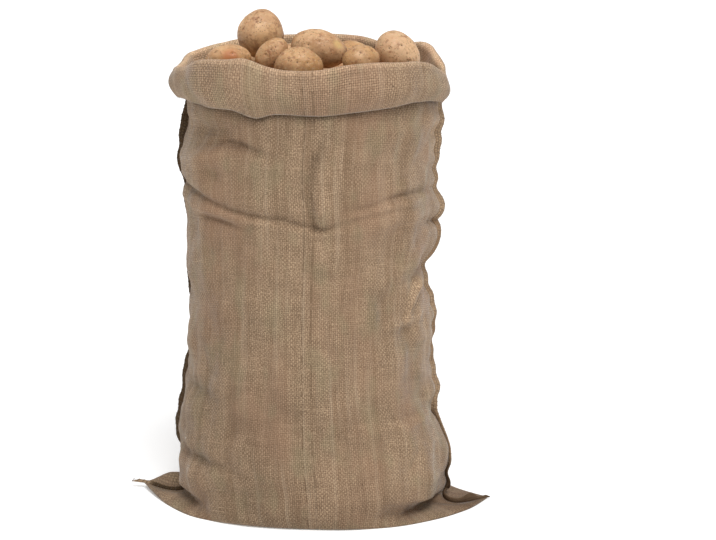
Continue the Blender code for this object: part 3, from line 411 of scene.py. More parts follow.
# The selvedges' colours: their darker yarns, their paler yarns and their dirty stretches. The left ones
# are painted dark, as shade.
SELVEDGE_COLOURS = {
    "left": ((0.055, 0.035, 0.02), (0.125, 0.084, 0.049), (0.09, 0.053, 0.028)),
    "right": ((0.27, 0.182, 0.113), (0.5, 0.355, 0.228), (0.27, 0.165, 0.092)),
}
# The twine's two colours, and how far along the seam from its tail it starts to show. The left twine is
# painted dark, as shade.
OVERCAST_COLOURS = {
    "left": ((0.055, 0.034, 0.02), (0.15, 0.102, 0.064)),
    "right": ((0.15, 0.095, 0.058), (0.44, 0.31, 0.2)),
}
OVERCAST_FROM = {"left": 0.0, "right": 0.17}
# Over the ears: each seam's colour there, and where along it that ends. The right one is painted dark, as
# shade.
EAR_COLOURS = {"left": ((0.36, 0.25, 0.155), 0.03, 0.045), "right": ((0.135, 0.086, 0.052), 0.165, 0.19)}


# ---- reading the tables ----

def curve(knots, values, places):
    """A smooth curve through the values at the knots, read at the given places."""
    slopes = np.gradient(values, knots)
    left = np.clip(np.searchsorted(knots, places) - 1, 0, len(knots) - 2)
    step = knots[left + 1] - knots[left]
    t = np.clip((places - knots[left]) / step, 0, 1)
    return ((2 * t**3 - 3 * t**2 + 1) * values[left] + (t**3 - 2 * t**2 + t) * step * slopes[left]
            + (3 * t**2 - 2 * t**3) * values[left + 1] + (t**3 - t**2) * step * slopes[left + 1])


def around(rows, column, turns):
    """A column of a table that runs right round the sack, read at the given turns."""
    knots, values = rows["turn"], rows[column]
    knots = np.concatenate([knots[-2:] - 4, knots, knots[:2] + 4])
    return curve(knots, np.concatenate([values[-2:], values, values[:2]]), (turns + 1) % 4 - 1)


def smooth_step(places, start, end):
    t = np.clip((places - start) / (end - start), 0, 1)
    return t * t * (3 - 2 * t)


def bell(distance, reach):
    """One at no distance, and fading to nothing beyond the reach."""
    return np.exp(-(distance / reach) ** 2)


def unit(vectors):
    """The directions of vectors, at a length of one."""
    return vectors / np.maximum(np.linalg.norm(vectors, axis=-1, keepdims=True), 1e-12)


def signed_power(values, power):
    return np.sign(values) * np.abs(values) ** power


def lengths_along(points):
    """How far each point lies along the line through them all."""
    return np.concatenate([[0], np.cumsum(np.linalg.norm(np.diff(points, axis=0), axis=1))])


def resampled(places, along, values):
    """The values along a line, read at other places along it."""
    return np.stack([np.interp(places, along, column) for column in values.T], -1)


# ---- the cloth ----

def wall_levels():
    """Where the wall's rows lie, from 0 at its foot to 1 at its rim: closest at its creases."""
    places, steps = np.array(ROW_STEPS).T
    fine = np.linspace(0, 1, 2001)
    density = np.cumsum(1 / np.interp(fine, places, steps))
    share = (density - density[0]) / (density[-1] - density[0])
    return np.interp(np.linspace(0, 1, WALL_ROWS + 1)[1:], share, fine)


def section(turns, left, right, front, back):
    """Points of a level section through the body, as x and y."""
    sideways, forwards = np.sin(turns * np.pi / 2), np.cos(turns * np.pi / 2)
    half = (right - left) / 2
    x = (left + right) / 2 + half * signed_power(sideways, 2 / SQUARENESS)
    return x, -np.where(forwards > 0, front, back) * signed_power(forwards, 2 / SQUARENESS)


def even_turns(count):
    """Turns that share a section out into equal widths of cloth, from the left seam round."""
    fine = np.linspace(-1, 3, 4001)
    length = lengths_along(np.stack(section(fine, *(SECTIONS[side].mean() for side in SIDES)), -1))
    return np.interp(np.arange(count) / count * length[-1], length, fine)


def wall_point(turns, heights):
    """The plain wall of the filled sack, without its folds."""
    reaches = (curve(SECTIONS["height"], SECTIONS[side], heights) for side in SIDES)
    return np.stack([*section(turns, *reaches), heights], -1)


def level_outward(behind, ahead):
    """Level unit vectors out of the sack, square to steps that run round it."""
    step = ahead - behind
    return unit(np.stack([step[..., 1], -step[..., 0], np.zeros(step.shape[:-1])], -1))


def outward(turns, heights):
    """Level unit vectors that point straight out of the wall."""
    return level_outward(*(wall_point(turns + shift, heights) for shift in (-TURN_STEP, TURN_STEP)))


def fold_depth(folds, turns, heights):
    """How far the folds push the cloth out at each place."""
    metres_per_turn = PANEL_WIDTH / 2
    total = np.zeros(np.broadcast(turns, heights).shape)
    for width, line in folds.values():
        nearest = np.full(total.shape, np.inf)
        depth = np.zeros(total.shape)
        line = np.array(line) / (1, 1000, 1000)
        for (turn_a, height_a, depth_a), (turn_b, height_b, depth_b) in zip(line, line[1:]):
            across = ((turns - turn_a + 2) % 4 - 2) * metres_per_turn
            up = heights - height_a
            run, rise = (turn_b - turn_a) * metres_per_turn, height_b - height_a
            t = np.clip((across * run + up * rise) / (run * run + rise * rise), 0, 1)
            distance = np.hypot(across - t * run, up - t * rise)
            closer = distance < nearest
            nearest = np.where(closer, distance, nearest)
            depth = np.where(closer, depth_a + t * (depth_b - depth_a), depth)
        total += depth * bell(nearest, width / 1000)
    return total


def ripples(turns, heights):
    """The slack cloth's small unevenness, and the puckers beside its seams."""
    seed = np.random.default_rng(RIPPLE_SEED)
    total = np.zeros(np.broadcast(turns, heights).shape)
    for length, size in RIPPLES:
        for angle, shift in seed.uniform(0, np.pi, (RIPPLES_OF_EACH, 2)):
            waves = np.round(np.cos(angle) * (2 * PANEL_WIDTH) / length)
            up = np.sin(angle) * heights / length
            total += size * np.sin(2 * np.pi * (waves * (turns + 1) / 4 + up) + 2 * shift)
    from_seam = np.abs((turns + 2) % 2 - 1) * PANEL_WIDTH / 2
    beat = 1 + 0.5 * np.sin(heights * PUCKER_BEAT + turns)
    puckers = PUCKER_SIZE * beat * np.cos(2 * np.pi * heights / PUCKER_LENGTH)
    return total + puckers * np.exp(-from_seam / PUCKER_REACH)


def base_points(turns):
    """The base fold, and the line where the cloth leaves the floor."""
    turn_from_front = np.where(turns > 1, 2 - turns, turns)
    even = even_turns(2 * BASE_STATIONS)[:BASE_STATIONS + 1]
    across = np.interp(turn_from_front, even, np.linspace(-1, 1, BASE_STATIONS + 1))
    ahead, behind = (curve(BASE["across"], BASE[side], across) for side in ("front", "back"))
    raised = np.where(across < 0, EAR_RAISE["left"], EAR_RAISE["right"])
    raised = raised * smooth_step(np.abs(across), EAR_FROM, 1.0)
    fold = [BASE_MIDDLE + across * (BASE_FOLD / 2 - FOLD_INSET), np.zeros_like(across), raised]
    edge = [BASE_MIDDLE + across * BASE_FOLD / 2, np.where(turns < 1, -ahead, behind), raised]
    return np.stack(fold, -1), np.stack(edge, -1)


def base_outward(turns):
    """Level unit vectors that point out across the edge of the base."""
    wrapped = ((turns + shift + 1) % 4 - 1 for shift in (-TURN_STEP, TURN_STEP))
    return level_outward(*(base_points(places)[1] for places in wrapped))


def folded_wall(turns, heights):
    """The wall with its folds and the push at the mouth."""
    push = around(MOUTH_PUSH, "push", turns) * smooth_step(heights, PUSH_START, PUSH_END)
    move = fold_depth(WALL_FOLDS, turns, heights) + push + ripples(turns, heights)
    return wall_point(turns, heights) + outward(turns, heights) * move[..., None]


def flare_point(turns, t):
    """The cloth between the floor and the wall: low and long at the ears, tight elsewhere."""
    out, lift, low, height, tuck, bow = (
        around(FLARE, name, turns) for name in ("out", "lift", "low", "height", "tuck", "bow"))
    foot = base_points(turns)[1] + UP * CLOTH / 2
    lean = foot + base_outward(turns) * out[:, None] + UP * lift[:, None]
    top = wall_point(turns, height)
    bend = top - UP * (height - low)[:, None] - outward(turns, height) * tuck[:, None]
    point = (1 - t)**3 * foot + 3 * (1 - t)**2 * t * lean + 3 * (1 - t) * t**2 * bend + t**3 * top
    point[:, 1] -= bow * BOW_SHAPE * t * t * (1 - t)
    move = fold_depth(WALL_FOLDS, turns, point[:, 2]) + ripples(turns, point[:, 2])
    move *= smooth_step(point[:, 2], 0.0, FOLDS_GROW)
    return point + outward(turns, height) * move[:, None]


def cuff_point(turns, t, turned):
    """The rim's roll (turned runs 0 to 1) and the cuff below it (t runs 0 to 1)."""
    rim, hem = (around(line, "height", turns) for line in (RIM_LINE, HEM_LINE))
    roll, bulge, hem_out = (around(CUFF, name, turns) for name in ("roll", "bulge", "hem_out"))
    height = rim - roll - t * (rim - roll - hem)
    angle = np.pi * turned
    stand_off = roll * (1 - np.cos(angle))
    if t > 0:
        middle = (4 * bulge - 2 * roll - hem_out) / 2
        stand_off = (1 - t)**2 * 2 * roll + 2 * (1 - t) * t * middle + t**2 * hem_out
    on_cuff = fold_depth(CUFF_FOLDS, turns, height) + ripples(turns, CUFF_RIPPLES_FROM - height)
    move = stand_off + around(MOUTH_PUSH, "push", turns)
    move += turned * on_cuff + (1 - turned) * ripples(turns, height)
    point = wall_point(turns, height) + outward(turns, height) * move[:, None]
    point[:, 2] += roll * np.sin(angle)
    return point


def cloth_rows(turns):
    """The middle of the cloth, row by row from the base fold to the hem."""
    fold, edge = base_points(turns)
    floor = [fold + (edge - fold) * t + UP * CLOTH / 2 for t in FLOOR_ROWS]
    flare = [flare_point(turns, t) for t in FLARE_ROWS]
    start = around(FLARE, "height", turns)
    end = around(RIM_LINE, "height", turns) - around(CUFF, "roll", turns)
    wall = [folded_wall(turns, start + (end - start) * level) for level in wall_levels()]
    rim = [cuff_point(turns, 0.0, k / RIM_ROWS) for k in range(1, RIM_ROWS + 1)]
    cuff = [cuff_point(turns, k / CUFF_ROWS, 1.0) for k in range(1, CUFF_ROWS + 1)]
    return np.array(floor + flare + wall + rim + cuff)


def normals_of(rows):
    """Unit normals of a grid of rows that close round the sack, pointing out of the wall."""
    along = np.roll(rows, -1, axis=1) - np.roll(rows, 1, axis=1)
    return unit(np.cross(along, np.gradient(rows, axis=0)))


def cloth_lengths(rows):
    """How far each point lies along the cloth from its base fold, and each column across it.

    Up the wall every column shares one measure. Below it each has its own, so that the weave
    keeps its size where the ears draw the cloth out.
    """
    steps = np.linalg.norm(np.diff(rows, axis=0), axis=2)
    foot = len(FLOOR_ROWS) + len(FLARE_ROWS) - 1
    up = np.concatenate([[0], np.cumsum(steps.mean(axis=1))])
    lengths = np.repeat(up[:, None], COLUMNS, axis=1)
    lengths[:foot] = up[foot] - np.cumsum(steps[foot - 1::-1], axis=0)[::-1]
    return lengths, np.arange(COLUMNS + 1) / COLUMNS * 2 * PANEL_WIDTH


def patches(tones, turns, heights):
    """The patches of a table of tones, added up at each place."""
    total = np.zeros(heights.shape)
    for turn, height, wide, tall, tone in zip(*tones.values()):
        total += tone * bell((turns - turn + 2) % 4 - 2, wide) * bell(heights - height, tall)
    return total


def cloth_tones(rows):
    """How much paler or darker the cloth is painted at each point of its rows: painted light and shade."""
    turns, heights = even_turns(COLUMNS), rows[..., 2]
    tones = patches(WALL_TONES, turns, heights)
    # Painted light on the inside of the mouth.
    inside = around(INSIDE_PAINTED_LIGHT, "tone", turns)
    tones += inside * smooth_step(heights, HIDDEN_TO, HIDDEN_TO + HIDDEN_FADE)
    # Painted highlight on the crests of narrow folds and painted shade in their troughs.
    narrow = {name: fold for name, fold in WALL_FOLDS.items() if fold[0] <= NARROW_FOLD}
    tones += FOLD_LIGHT_AND_SHADE * fold_depth(narrow, turns, heights)
    # Painted shade on the wall under the hem.
    tones += HEM_SHADE * bell(around(HEM_LINE, "height", turns) - heights, HEM_SHADE_TALL)
    # The cuff has its own patches of painted light and shade.
    cuff = slice(-CUFF_ROWS - RIM_ROWS // 2, None)
    tones[cuff] = patches(CUFF_TONES, turns, heights[cuff])
    # A painted highlight, with wear, along the rim's crest.
    return tones + RIM_WEAR_AND_HIGHLIGHT * bell(heights.max(axis=0) - heights, RIM_TALL)


# ---- meshes ----

def join_rings(mesh, rings, across=None, along=None):
    """Faces between rings of vertices, with the flat place of each corner where it is given."""
    flat, sides = mesh.loops.layers.uv.get("UVMap"), len(rings[0])
    for i, (lower, upper) in enumerate(zip(rings, rings[1:])):
        for j in range(sides):
            k = (j + 1) % sides
            face = mesh.faces.new([lower[j], lower[k], upper[k], upper[j]])
            if flat is not None:
                corners = [(across[j], along[i][j]), (across[j + 1], along[i][k]),
                           (across[j + 1], along[i + 1][k]), (across[j], along[i + 1][j])]
                for loop, place in zip(face.loops, corners):
                    loop[flat].uv = place


def close_ends(mesh, rings):
    mesh.faces.new(rings[0][::-1])
    mesh.faces.new(rings[-1])


def add_tube(mesh, points, radius, sides=5):
    """A tube round a line of points, closed at both ends."""
    tangents = unit(np.gradient(points, axis=0))
    helper = np.where(np.abs(tangents[:, 2:3]) < 0.9, [[0.0, 0.0, 1.0]], [[1.0, 0.0, 0.0]])
    first = unit(np.cross(tangents, helper))
    second = np.cross(tangents, first)
    angles = np.arange(sides)[:, None] / sides * 2 * np.pi
    rings = []
    for point, size, ahead, aside in zip(points, np.broadcast_to(radius, len(points)), first, second):
        ring = point + size * (np.cos(angles) * ahead + np.sin(angles) * aside)
        rings.append([mesh.verts.new(p) for p in ring])
    join_rings(mesh, rings)
    close_ends(mesh, rings)


def add_object(name, data):
    made = bpy.data.objects.new(name, data)
    bpy.context.scene.collection.objects.link(made)
    return made


def mesh_object(mesh, name, material):
    """Turn a bmesh into an object of the scene."""
    data = bpy.data.meshes.new(name)
    mesh.to_mesh(data)
    mesh.free()
    data.materials.append(material)
    return add_object(name, data)


def finish_mesh(mesh, name, material):
    """Turn a bmesh into a smooth object of the scene that rides on the sack."""
    made = mesh_object(mesh, name, material)
    made.data.shade_smooth()
    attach(made, "root")
    return made


def set_values(made, **values):
    """Give an object's vertices the values that its material reads by name."""
    for name, numbers in values.items():
        made.data.attributes.new(name, "FLOAT", "POINT").data.foreach_set("value", numbers)


def make_cloth(rows):
    """One sheet through the rows, given its thickness, with its flat measure as UV metres."""
    mesh = bmesh.new()
    mesh.loops.layers.uv.new("UVMap")
    lengths, widths = cloth_lengths(rows)
    half = [mesh.verts.new(p) for p in rows[0][:COLUMNS // 2 + 1]]
    grid = [half + half[-2:0:-1]] + [[mesh.verts.new(p) for p in row] for row in rows[1:]]
    join_rings(mesh, grid, widths, lengths)
    tones = cloth_tones(rows)
    made = finish_mesh(mesh, "sack_sheet", hessian_material())
    set_values(made, tone=np.concatenate([tones[0][:COLUMNS // 2 + 1], tones[1:].ravel()]))
    thicken = made.modifiers.new("thickness", "SOLIDIFY")
    thicken.thickness = CLOTH
    thicken.offset = 0.0
    return made


# ---- the side seams ----

def smoothed(values, reach):
    """Values along a line, each averaged with its neighbours."""
    padded = np.pad(values, ((reach, reach), (0, 0)), mode="edge")
    weights = np.hanning(2 * reach + 3)[1:-1]
    weights /= weights.sum()
    return np.stack([np.convolve(column, weights, "valid") for column in padded.T], -1)


def seam_path(side, rows):
    """Where a seam is rooted, from its tail up: points, the cloth's normals and lengths."""
    column = 0 if side == "left" else COLUMNS // 2
    stretch = slice(len(FLOOR_ROWS), len(FLOOR_ROWS) + len(FLARE_ROWS) + WALL_ROWS)
    points, normals = rows[stretch, column], normals_of(rows)[stretch, column]
    shows = points[:, 2] < SEAM_TOP
    points, normals = points[shows], normals[shows]
    away = np.array([np.sign(points[0, 0]), 0.0, TAIL_SLOPES[side]])
    tail = points[0] + away * SEAM_TAILS[side] * np.linspace(1, 0, TAIL_STATIONS + 1)[:-1, None]
    points = np.concatenate([tail, points])
    normals = np.concatenate([np.repeat(normals[:1], TAIL_STATIONS, axis=0), normals])
    along = lengths_along(points)
    even = np.arange(0, along[-1], STATION_STEP)
    points, normals = (resampled(even, along, values) for values in (points, normals))
    return points, unit(smoothed(normals, SEAM_SMOOTHING["normals"])), even


def seam_frames(side, rows):
    """The stations of a seam: its root in the wall, its taut outer line and its thickness."""
    points, normals, along = seam_path(side, rows)
    tangents = unit(smoothed(np.gradient(points, axis=0), SEAM_SMOOTHING["tangents"]))
    leans = curve(*SEAM_LEANS[side].values(), points[:, 2])
    for per_metre, degrees in SEAM_WAVES:
        leans = leans + degrees * np.sin(per_metre * along + per_metre)
    lean = np.radians(leans)[:, None]
    sideways = np.cross(tangents, normals)
    sideways *= np.sign(sideways[:, 1:2])
    stations = SEAM_SMOOTHING["edge"]
    out = unit(smoothed(normals * np.cos(lean) + sideways * np.sin(lean), stations))
    pulled = ((smoothed(points, SEAM_TAUT[side]) - points) * normals).sum(axis=1, keepdims=True)
    width = SEAM_WIDTH * np.interp(along, *SEAM_SHARES[side].values())
    width *= 1 + sum(size * np.sin(along * per_metre + shift) for per_metre, size, shift in WIDTH_WAVES)
    edge = points + normals * np.maximum(pulled, 0) + out * width[:, None]
    return points - normals * CLOTH / 2, smoothed(edge, stations), unit(np.cross(tangents, out)), along


def make_seam(side, rows):
    """The two selvedges that stand out along a side, as one flattened wavy strip."""
    root, edge, thick, along = seam_frames(side, rows)
    taper = SEAM_TIP + (1 - SEAM_TIP) * smooth_step(along, 0.0, SEAM_TAPER)
    angles = np.arange(SEAM_SIDES) / SEAM_SIDES * 2 * np.pi
    reach = 0.5 - 0.5 * signed_power(np.cos(angles), SEAM_SQUARENESS[0])
    depth = signed_power(np.sin(angles), SEAM_SQUARENESS[1]) * SEAM_THICKNESS / 2
    mesh = bmesh.new()
    mesh.loops.layers.uv.new("UVMap")
    rings = []
    for start, end, aside, share in zip(root, edge, thick, taper):
        ring = start + (end - start) * (reach * share)[:, None] + aside * (depth * share)[:, None]
        ring[:, 2] = np.maximum(ring[:, 2], FLOOR_ROOM)
        rings.append([mesh.verts.new(p) for p in ring])
    girth = np.arange(SEAM_SIDES + 1) / SEAM_SIDES * 2 * SEAM_WIDTH
    join_rings(mesh, rings, girth, np.repeat(along[:, None], SEAM_SIDES, axis=1))
    close_ends(mesh, rings)
    bmesh.ops.recalc_face_normals(mesh, faces=mesh.faces)
    return finish_mesh(mesh, "seam_" + side, selvedge_material(side))


def make_overcast(side, rows):
    """The twine sewn over and over the edge of a seam."""
    root, edge, thick, along = seam_frames(side, rows)
    count = int(along[-1] / STITCH_PITCH * TWINE_STEPS)
    place = np.arange(count) / TWINE_STEPS * STITCH_PITCH
    place = place[place >= OVERCAST_FROM[side]]
    root, edge, thick = (resampled(place, along, values) for values in (root, edge, thick))
    turn = place / STITCH_PITCH * 2 * np.pi + TWINE_STRAY * np.sin(place * 310)
    reach = TWINE_MIDDLE - TWINE_REACH * np.cos(turn)
    depth = np.sin(turn) * (SEAM_THICKNESS + TWINE * 0.6) / 2
    line = root + (edge - root) * reach[:, None] + thick * depth[:, None]
    line[:, 2] = np.maximum(line[:, 2], FLOOR_ROOM + TWINE / 2)
    mesh = bmesh.new()
    add_tube(mesh, line, TWINE / 2)
    bmesh.ops.recalc_face_normals(mesh, faces=mesh.faces)
    return finish_mesh(mesh, "overcast_" + side, twine_material(*OVERCAST_COLOURS[side]))


# ---- the potatoes ----

def ball_directions(fineness):
    """A ball's vertices as unit directions, with its mesh."""
    mesh = bmesh.new()
    bmesh.ops.create_icosphere(mesh, subdivisions=fineness, radius=1.0)
    mesh.verts.ensure_lookup_table()
    return mesh, np.array([v.co.normalized() for v in mesh.verts])


def angles_from(place, directions):
    return np.arccos(np.clip(directions @ place, -1, 1))


def spread_out(values, edges, rounds):
    """Values at vertices, averaged with their neighbours a number of times."""
    count = np.bincount(edges.ravel(), minlength=len(values))
    for _ in range(rounds):
        total = (np.bincount(edges[:, 0], values[edges[:, 1]], len(values))
                 + np.bincount(edges[:, 1], values[edges[:, 0]], len(values)))
        values = 0.5 * values + 0.5 * total / count
    return values


def node_reach(node, directions):
    """A node's middle, and how far it reaches from there in each direction."""
    solid = bmesh.new()
    solid.from_mesh(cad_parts[node].data)
    tree = BVHTree.FromBMesh(solid)
    low, high = (np.array(corner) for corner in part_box(node))
    middle, far = (low + high) / 2, np.linalg.norm(high - low)
    hits = [tree.ray_cast(Vector(middle + way * far), Vector(-way)) for way in directions]
    solid.free()
    return middle, far - np.array([hit[3] for hit in hits])


def potato_eyes(seed):
    """Directions of a potato's eyes, in a loose spiral, and their sizes."""
    count = seed.integers(7, 11)
    lift = np.linspace(0.9, -0.9, count) + seed.uniform(-0.1, 0.1, count)
    swing = np.arange(count) * EYE_SPIRAL + seed.uniform(0, 6) + seed.uniform(-0.4, 0.4, count)
    flat = np.sqrt(np.maximum(1 - lift**2, 0))
    places = np.stack([flat * np.cos(swing), flat * np.sin(swing), lift], -1)
    return list(zip(places, seed.uniform(0.10, 0.16, count)))


def make_potato(node, number):
    """A fine potato grown over a node's coarse solid, with its lumps and eyes."""
    seed = np.random.default_rng(FIRST_POTATO_SEED + number)
    front = number in FRONT_EYES
    mesh, directions = ball_directions(FRONT_FINENESS if front else FINENESS)
    edges = np.array([[v.index for v in edge.verts] for edge in mesh.edges])
    middle, reach = node_reach(node, directions)
    reach = spread_out(reach, edges, FRONT_ROUNDS if front else ROUNDS)
    for waves, size in LUMPS:
        for _ in range(LUMPS_OF_EACH):
            wave = seed.normal(size=3)
            wave *= waves / np.linalg.norm(wave)
            reach *= 1 + size * np.sin(directions @ wave + seed.uniform(0, 6.28))
    eyes = potato_eyes(seed)
    if front:
        eyes = [(place, size) for place, size in eyes if place[1] > -0.2]
        eyes += [(unit(np.array(row[:3])), row[3]) for row in FRONT_EYES[number]]
    soiled_eye = np.zeros(len(directions))
    for place, size in eyes:
        near = angles_from(place, directions)
        brow = bell(near - 1.5 * size, 0.6 * size) * (directions[:, 2] > place[2])
        reach -= EYE_DEPTH * bell(near, size) - BROW_HEIGHT * brow
        soiled_eye = np.maximum(soiled_eye, bell(near, 0.55 * size))
    for vert, place in zip(mesh.verts, middle + directions * reach[:, None]):
        vert.co = place
    tan, soiled = POTATO_SKINS.get(number, OTHER_SKIN)
    marks = {mark: bell(angles_from(unit(np.array(place)), directions), size) * (number == marked)
             for mark, (marked, place, size) in POTATO_MARKS.items()}
    made = finish_mesh(mesh, "%s_skin" % node, potato_material())
    # Each potato is darker on its underside, with dirt and painted shade.
    set_values(made, eye=soiled_eye, tan=np.full(len(directions), tan),
               soil=soiled * smooth_step(-directions[:, 2], -0.35, 0.55), **marks)
    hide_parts(node)
    return made


def underside(places, tree):
    """The lowest point of the potatoes above some places, or infinity."""
    hits = [tree.ray_cast(Vector((x, y, 0.0)), Vector(UP))[0] for x, y in places]
    return min(np.inf if hit is None else hit.z for hit in hits)


def make_lower_layer(potatoes):
    """The potatoes below the top layer, which show only between those above them."""
    joined = bmesh.new()
    for potato in potatoes:
        joined.from_mesh(potato.data)
    tree = BVHTree.FromBMesh(joined)
    seed = np.random.default_rng(LOWER_SEED)
    mesh = bmesh.new()
    eyes = []
    for level, pitch in enumerate(LOWER_PITCHES):
        for row, y_row in enumerate(np.arange(*LOWER_ACROSS["y"], pitch * ROWS_CLOSER)):
            for x_row in np.arange(*LOWER_ACROSS["x"], pitch) + (row % 2) * pitch / 2:
                x, y = (place + seed.uniform(-LOWER_SPREAD, LOWER_SPREAD) for place in (x_row, y_row))
                size = LOWER_SIZE * seed.uniform(0.92, 1.08, 3)
                turn = np.arctan2(x, -y) * 2 / np.pi
                wall = wall_point(np.array([turn]), np.array([LOWER_WALL]))[0]
                if np.hypot(x, y) + LOWER_ROOM > np.hypot(wall[0], wall[1]):
                    continue
                ring = [(x + LOWER_RING * np.cos(a), y + LOWER_RING * np.sin(a)) for a in range(6)]
                roof = min(underside([(x, y)] + ring, tree), LOWER_TOP)
                centre = np.array([x, y, roof - size[2] - 0.001 - level * LEVEL_DROP])
                eyes.append(add_small_potato(mesh, centre, size, seed))
    joined.free()
    made = finish_mesh(mesh, "lower_potatoes", potato_material())
    set_values(made, eye=np.concatenate(eyes))
    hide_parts("potato_filling")
    return made


def add_small_potato(mesh, centre, size, seed):
    """One potato of the lower layer, added to their joined mesh. Gives back where its eyes are."""
    ball, directions = ball_directions(LOWER_FINENESS)
    swing, tip = seed.uniform(0, np.pi), seed.uniform(-0.3, 0.3)
    length = np.array([np.cos(swing) * np.cos(tip), np.sin(swing) * np.cos(tip), np.sin(tip)])
    width = np.array([-np.sin(swing), np.cos(swing), 0.0])
    axes = np.array([length, width, np.cross(length, width)])
    reach = 1 + 0.03 * np.sin(directions @ seed.normal(size=3) * 3 + seed.uniform(0, 6))
    soiled_eye = np.zeros(len(directions))
    for place, eye_size in potato_eyes(seed):
        near = angles_from(place, directions)
        reach -= 0.03 * bell(near, eye_size)
        soiled_eye = np.maximum(soiled_eye, bell(near, 0.6 * eye_size))
    places = (directions * reach[:, None] * size) @ axes + centre
    made = [mesh.verts.new(p) for p in places]
    for face in ball.faces:
        mesh.faces.new([made[v.index] for v in face.verts])
    ball.free()
    return soiled_eye


# ---- loose threads ----

def make_hem_stitches(rows):
    """A running stitch of jute thread that holds the mouth's hem."""
    row = -1 - round(CUFF_ROWS * HEM_UP)
    line, out = (np.concatenate([values[row], values[row][:1]]) for values in (rows, normals_of(rows)))
    along = lengths_along(line)
    arch = np.sin(np.linspace(0, np.pi, 6)) * HEM_ARCH - HEM_SUNK
    mesh = bmesh.new()
    for start in np.arange(0, along[-1] - HEM_END, HEM_PITCH):
        places = np.linspace(start, start + HEM_STITCH, 6)
        away = resampled(places, along, out) * (CLOTH / 2 + arch)[:, None]
        add_tube(mesh, resampled(places, along, line) + away, HEM_THREAD / 2, 4)
    return finish_mesh(mesh, "hem_stitches", twine_material())


def make_loose_fibres(rows):
    """Short hairs of jute that stand off the cloth, most of them along its hem and seams."""
    seed = np.random.default_rng(FIBRE_SEED)
    normals = normals_of(rows)
    mesh = bmesh.new()
    first, last = len(FLOOR_ROWS) + 1, len(rows) - 1
    t = np.linspace(0, 1, FIBRE_POINTS)
    for _ in range(FIBRES):
        at_hem = seed.uniform() < FIBRES_AT_HEM
        i = last if at_hem else seed.integers(first, last)
        j = seed.integers(0, COLUMNS)
        away = normals[i, j]
        along = np.cross(away, UP)
        swing = seed.uniform(0, 2 * np.pi)
        rise = -(0.4 + 0.6 * abs(np.sin(swing))) if at_hem else np.sin(swing)
        direction = along * np.cos(swing) + UP * rise
        length = seed.uniform(*FIBRE_LENGTHS)
        bend = seed.uniform(-0.5, 0.5) * t**2
        line = (rows[i, j] + away * CLOTH / 2 + length * (t[:, None] * direction
                + bend[:, None] * along) + away * (length * 0.35 * (t * (1.3 - t)))[:, None])
        line[:, 2] = np.maximum(line[:, 2], FIBRE_ROOM)
        add_tube(mesh, line, np.linspace(*FIBRE_RADII, FIBRE_POINTS), 3)
    return finish_mesh(mesh, "loose_fibres", twine_material())


# ---- materials ----

class Shader:
    """One material's nodes. Each call adds a node and gives back its output."""

    def __init__(self, name, **fixed):
        self.material = bpy.data.materials.new(name)
        self.material.use_nodes = True
        self.tree = self.material.node_tree
        self.surface = self.tree.nodes["Principled BSDF"]
        for socket, value in fixed.items():
            self.surface.inputs[socket.replace("_", " ")].default_value = value

    def fill(self, target, value):
        """Link a node's output to a socket, or set the socket's own value."""
        if isinstance(value, bpy.types.NodeSocket):
            self.tree.links.new(value, target)
        else:
            target.default_value = value

    def node(self, kind, inputs, output=0, **settings):
        made = self.tree.nodes.new(kind)
        for name, value in settings.items():
            setattr(made, name, value)
        for socket, value in inputs.items():
            self.fill(made.inputs[socket], value)
        return made.outputs[output]

    def math(self, operation, *values, clamp=False):
        return self.node("ShaderNodeMath", dict(enumerate(values)), operation=operation,
                         use_clamp=clamp)

    def times(self, first, second):
        return self.math("MULTIPLY", first, second)

    def combine(self, x, y, z=0.0):
        return self.node("ShaderNodeCombineXYZ", {0: x, 1: y, 2: z})

    def noise(self, where, scale=1.0, detail=2.0, roughness=0.5, stretch=None):
        if stretch:
            where = self.node("ShaderNodeVectorMath", {0: where, 1: stretch}, operation="MULTIPLY")
        return self.node("ShaderNodeTexNoise", {"Vector": where, "Scale": scale,
                                                "Detail": detail, "Roughness": roughness})

    def place(self):
        return self.node("ShaderNodeTexCoord", {}, output="Object")

    def cloth_place(self):
        """The place on the flat cloth, across it and along it in metres."""
        flat = self.node("ShaderNodeUVMap", {}, uv_map="UVMap")
        parts = self.tree.nodes.new("ShaderNodeSeparateXYZ")
        self.tree.links.new(flat, parts.inputs[0])
        return flat, parts.outputs[0], parts.outputs[1]

    def attribute(self, name):
        return self.node("ShaderNodeAttribute", {}, output="Fac", attribute_name=name)

    def mix(self, share, first, second, blend="MIX"):
        made = self.tree.nodes.new("ShaderNodeMix")
        made.data_type = "RGBA"
        made.blend_type = blend
        for socket, value in zip(("Factor", "A", "B"), (share, first, second)):
            target = next(s for s in made.inputs if s.enabled and s.name == socket)
            self.fill(target, (*value, 1.0) if isinstance(value, tuple) else value)
        return next(s for s in made.outputs if s.enabled)

    def fade(self, value, low, high, to_low=0.0, to_high=1.0):
        return self.node("ShaderNodeMapRange", {0: value, 1: low, 2: high, 3: to_low, 4: to_high},
                         interpolation_type="SMOOTHSTEP")

    def stain(self, colour, pattern, low, high, share, paint):
        """A colour, painted over by the share where the pattern is high and not where it is low."""
        return self.mix(self.fade(pattern, low, high, 0.0, share), colour, paint)

    def dim(self, colour, gain):
        return self.mix(1.0, colour, self.combine(gain, gain, gain), blend="MULTIPLY")

    def bump(self, height, distance, strength=1.0):
        return self.node("ShaderNodeBump", {"Height": height, "Distance": distance,
                                            "Strength": strength})

    def wear(self, **looks):
        """Give the surface its colour and the like, and hand back the material."""
        for name, value in looks.items():
            self.tree.links.new(value, self.surface.inputs[name.replace("_", " ")])
        return self.material


